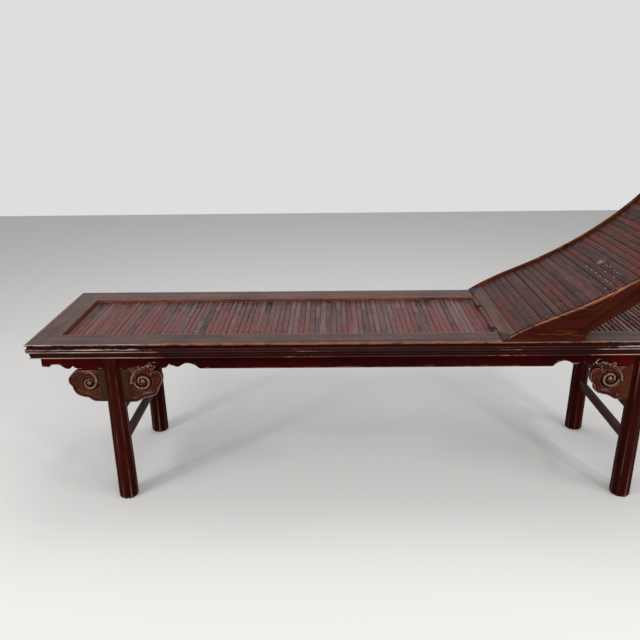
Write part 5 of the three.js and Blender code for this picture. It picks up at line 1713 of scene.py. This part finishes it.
def iron_finish(colours):
    """Blackened iron with a brown bloom."""
    made = Finish("iron_finish")
    lacquer = made.group("Old Lacquer", place=made.place(), cloud_size=0.02)
    shade = made.mix(made.clamp(made.scaled(lacquer["Cloud"], 4.0, -2.0)), colours.iron, colours.rust)
    rough = made.stretch(lacquer["Haze"], 0.4, 0.7)
    return made.finish(shade, rough, lacquer["Height"], 0.0002, [("Metallic", 0.25)])


def pin_finish(colours):
    """Pale heads of the pins, partly their polished metal and partly a painted glint."""
    made = Finish("pin_finish")
    haze = made.noise(made.place(), 400.0)
    shade = made.mix(made.stretch(haze, 0.4, 1.0), colours.dust, colours.pin)
    return made.finish(shade, 0.4, haze, 0.0001)


def bamboo_finish(colours, name, base, level, skin, knot=None):
    """Lacquered bamboo: each stretch between nodes has its own shade and redness, with fibres along
    it, pale streaks where the skin is rubbed and a painted highlight on the lit shoulder, and a darker
    gap beside it, painted shade. Round a knot's place the shade goes up and down with the distance,
    as a sine of it that fades outwards."""
    made = Finish(name + "_finish")
    place, grain = made.place(), made.grain()
    drawn = made.drawn_out(grain, 26.0)
    fibres = made.noise(drawn, 900.0, 3.0, 0.7)
    streaks = made.noise(drawn, 230.0, 4.0, 0.65)
    patches = made.noise(grain, 22.0, 5.0, 0.65)
    spread = made.noise(place, 5.0, 3.0)
    lightness = made.scaled(made.value("tone"), 0.9, made.scaled(streaks, 2.2, -1.1))
    lightness = made.clamp(made.math("ADD", lightness, made.scaled(patches, 1.3, -0.55)))
    shade = made.mix(lightness, getattr(colours, base + "_dark"), getattr(colours, base))
    redness = made.math("ADD", made.scaled(spread, 1.6, -0.95), made.value("hue"))
    redness = made.clamp(made.scaled(made.scaled(patches, 1.2, redness), 1.6, -1.0))
    shade = made.mix(made.math("MULTIPLY", redness, 0.8), shade, getattr(colours, base + "_red"))
    if knot:
        away = made.add("VectorMath", [(0, place), (1, knot)], operation="DISTANCE")["Value"]
        rings = made.scaled(made.math("SINE", made.math("MULTIPLY", away, KNOT_RINGS)), 0.5, 0.5)
        faded = made.math("MULTIPLY", made.clamp(made.scaled(away, -1 / KNOT_RADIUS, 1.3)), 0.9)
        shade = made.mix(faded, shade, made.mix(rings, colours.groove, colours.slat_highlight_and_wear))
    # The pale streaks are partly a painted highlight; skin is how far they go to the pale colour
    worn = made.group("Edge Wear", place=drawn, mask=made.value("wear"), amount=0.4, patch_size=0.006)["Wear"]
    shade = made.mix(made.math("MULTIPLY", worn, skin), shade, colours.slat_highlight_and_wear)
    # The dirt value takes the apron's dark colour: painted shade in the gaps between slats, and dirt in the
    # dips
    settled = made.group("Settled Dust", place=place, hollow=made.value("dirt"), amount=1.2)["Dust"]
    shade = made.mix(made.clamp(settled), shade, colours.apron_dark)
    height = made.scaled(streaks, 1.4, fibres)
    return made.finish(shade, made.scaled(streaks, 0.3, 0.2), height, 0.0004, [("Specular IOR Level", level)])


BRACES = (
    "deck_brace_1", "deck_brace_2", "deck_brace_3", "deck_brace_4", "back_lower_brace", "back_upper_brace",
)
HINGE_PARTS = ("hinge_moving_leaf", "hinge_fixed_leaf", "hinge_pin")


def dress_node(node, material, bevel):
    """Gives a CAD node its finish and softens its edges."""
    piece = frame["nodes"][node]
    piece.data.materials.clear()
    piece.data.materials.append(material)
    softened = piece.modifiers.new("Softened edges", "BEVEL")
    softened.width = bevel
    softened.segments = 2
    softened.limit_method = "ANGLE"
    softened.angle_limit = SHARP_ANGLE


class BENCH_OT_hidden_wood(bpy.types.Operator):
    """Finishes the braces and the hinge rail"""

    bl_idname = "bench.hidden_wood"
    bl_label = "Braces"

    def execute(self, context):
        colours, bevel = context.scene.bench_colours, context.scene.bench_sizes.edge_round
        for base, nodes in (("hidden", BRACES), ("stained", ("hinge_rail",))):
            finish = hidden_finish(colours, base)
            for node in nodes:
                dress_node(node, finish, bevel)
        return {"FINISHED"}


class BENCH_OT_hinges(bpy.types.Operator):
    """Finishes the iron hinges"""

    bl_idname = "bench.hinges"
    bl_label = "Hinges"

    def execute(self, context):
        finish = iron_finish(context.scene.bench_colours)
        for side in SIDES:
            for part in HINGE_PARTS:
                dress_node(f"{side}_{part}", finish, context.scene.bench_sizes.joint_gap)
        return {"FINISHED"}


# The camera: its place, and how it is turned, as angles away from looking level along +Y
CAMERA_PLACE = (-0.1232, -1.7972, 1.1465)
CAMERA_YAW = math.radians(0.911)
CAMERA_PITCH = math.radians(20.558)
CAMERA_ROLL = math.radians(0.756)
FOCAL_PIXELS = 648.1
FRAME_PIXELS = 640.0
SENSOR_WIDTH = 36.0


def make_camera(scene):
    """Puts the camera at the photograph's angle."""
    data = bpy.data.cameras.new("camera")
    data.sensor_width = SENSOR_WIDTH
    data.lens = FOCAL_PIXELS / FRAME_PIXELS * SENSOR_WIDTH
    camera = bpy.data.objects.new("camera", data)
    scene.collection.objects.link(camera)
    yaw, pitch, roll = CAMERA_YAW, CAMERA_PITCH, CAMERA_ROLL
    ahead = Vector((-math.sin(yaw) * math.cos(pitch), math.cos(yaw) * math.cos(pitch), -math.sin(pitch)))
    right = Vector((math.cos(yaw), math.sin(yaw), 0.0))
    down = ahead.cross(right)
    tilted_right = right * math.cos(roll) + down * math.sin(roll)
    tilted_down = -right * math.sin(roll) + down * math.cos(roll)
    turn = Matrix((tilted_right, -tilted_down, -ahead)).transposed()
    camera.matrix_world = Matrix.Translation(CAMERA_PLACE) @ turn.to_4x4()
    scene.camera = camera


# Lamps: name, place, the point that each faces, its width and height, and its power in watts
LAMPS = (
    ("left_strip", (-1.9, -1.35, 2.1), (-0.6, -0.2, 0.45), (1.1, 0.1), 16.0),
    ("right_strip", (2.2, -1.35, 2.1), (0.7, -0.2, 0.45), (1.1, 0.1), 16.0),
    ("middle_lamp", (0.1, -1.9, 2.2), (0.0, -0.2, 0.4), (1.4, 0.6), 13.0),
    ("left_lamp", (-2.7, -2.1, 1.15), (-0.6, -0.2, 0.3), (0.2, 1.2), 18.0),
    ("right_lamp", (1.9, -2.5, 1.15), (0.3, -0.2, 0.3), (0.2, 1.2), 18.0),
    ("top_lamp", (0.3, 0.7, 3.0), (0.0, 0.0, 0.4), (3.0, 1.4), 26.0),
)


def add_lamp(scene, name, place, target, size, power):
    """A soft lamp that faces a point and can't itself be seen."""
    data = bpy.data.lights.new(name, "AREA")
    data.shape = "RECTANGLE"
    data.size, data.size_y = size
    data.energy = power
    lamp = bpy.data.objects.new(name, data)
    scene.collection.objects.link(lamp)
    turn = (Vector(place) - Vector(target)).to_track_quat("Z", "Y")
    lamp.matrix_world = Matrix.Translation(place) @ turn.to_matrix().to_4x4()
    lamp.visible_camera = False


WORLD_COLOUR = (0.98, 0.99, 1.0, 1.0)
BACKDROP_GREY = 0.74
LIGHT_GREY = 0.42


def make_world(scene):
    """A plain pale world: full strength where it is seen or mirrored, lower as a light."""
    world = bpy.data.worlds.new("pale_world")
    world.use_nodes = True
    scene.world = world
    made = Nodes(world.node_tree)
    background = made.tree.nodes["Background"].inputs
    made.join(background["Color"], WORLD_COLOUR)
    made.join(background["Strength"], made.stretch(made.seen(), LIGHT_GREY, BACKDROP_GREY))


FLOOR_SIZE = 8.0
FLOOR_DARK = (0.56, 0.55, 0.53, 1.0)
FLOOR_LIGHT = (0.6, 0.59, 0.57, 1.0)
FLOOR_SEEN = (0.8, 0.79, 0.77, 1.0)


def make_floor(scene):
    """A plain pale floor, far wider than the bench."""
    half = FLOOR_SIZE / 2
    mesh = bpy.data.meshes.new("floor")
    corners = [(-half, -half, 0), (half, -half, 0), (half, half, 0), (-half, half, 0)]
    mesh.from_pydata(corners, [], [(0, 1, 2, 3)])
    floor = bpy.data.objects.new("floor", mesh)
    scene.collection.objects.link(floor)
    made = Finish("floor_finish")
    noise = made.noise(made.place(), 3.0, 3.0)
    shade = made.mix(made.seen(), made.mix(noise, FLOOR_DARK, FLOOR_LIGHT), FLOOR_SEEN)
    mesh.materials.append(made.finish(shade, 0.8, noise, 0.0005, [("Specular IOR Level", 0.05)]))


class BENCH_OT_stage(bpy.types.Operator):
    """Sets up the floor, the lights, the world and the camera"""

    bl_idname = "bench.stage"
    bl_label = "Stage"

    def execute(self, context):
        scene = context.scene
        scene.view_settings.view_transform = "Standard"
        make_camera(scene)
        make_world(scene)
        make_floor(scene)
        for lamp in LAMPS:
            add_lamp(scene, *lamp)
        return {"FINISHED"}


class BENCH_PT_recliner(bpy.types.Panel):
    """Lists the bench's pieces in the order they are built"""

    bl_idname = "BENCH_PT_recliner"
    bl_label = "Day Bench"
    bl_space_type = "VIEW_3D"
    bl_region_type = "UI"
    bl_category = "Day Bench"

    def draw(self, context):
        for operator in OPERATORS:
            self.layout.operator(operator.bl_idname)


OPERATORS = (
    BENCH_OT_stage, BENCH_OT_rails, BENCH_OT_seat_slats, BENCH_OT_aprons, BENCH_OT_spandrels, BENCH_OT_legs,
    BENCH_OT_stretchers, BENCH_OT_side_boards, BENCH_OT_back_rails, BENCH_OT_back_slats,
    BENCH_OT_hidden_wood, BENCH_OT_hinges,
)
CLASSES = (BenchSizes, BackCurve, BenchColours, *OPERATORS, BENCH_PT_recliner)


def register():
    for cls in CLASSES:
        bpy.utils.register_class(cls)
    bpy.types.Scene.bench_sizes = PointerProperty(type=BenchSizes)
    bpy.types.Scene.bench_back = PointerProperty(type=BackCurve)
    bpy.types.Scene.bench_colours = PointerProperty(type=BenchColours)


def unregister():
    del bpy.types.Scene.bench_colours
    del bpy.types.Scene.bench_back
    del bpy.types.Scene.bench_sizes
    for cls in reversed(CLASSES):
        bpy.utils.unregister_class(cls)


def main():
    register()
    for operator in OPERATORS:
        category, name = operator.bl_idname.split(".")
        getattr(getattr(bpy.ops, category), name)()


if __name__ == "__main__":
    main()
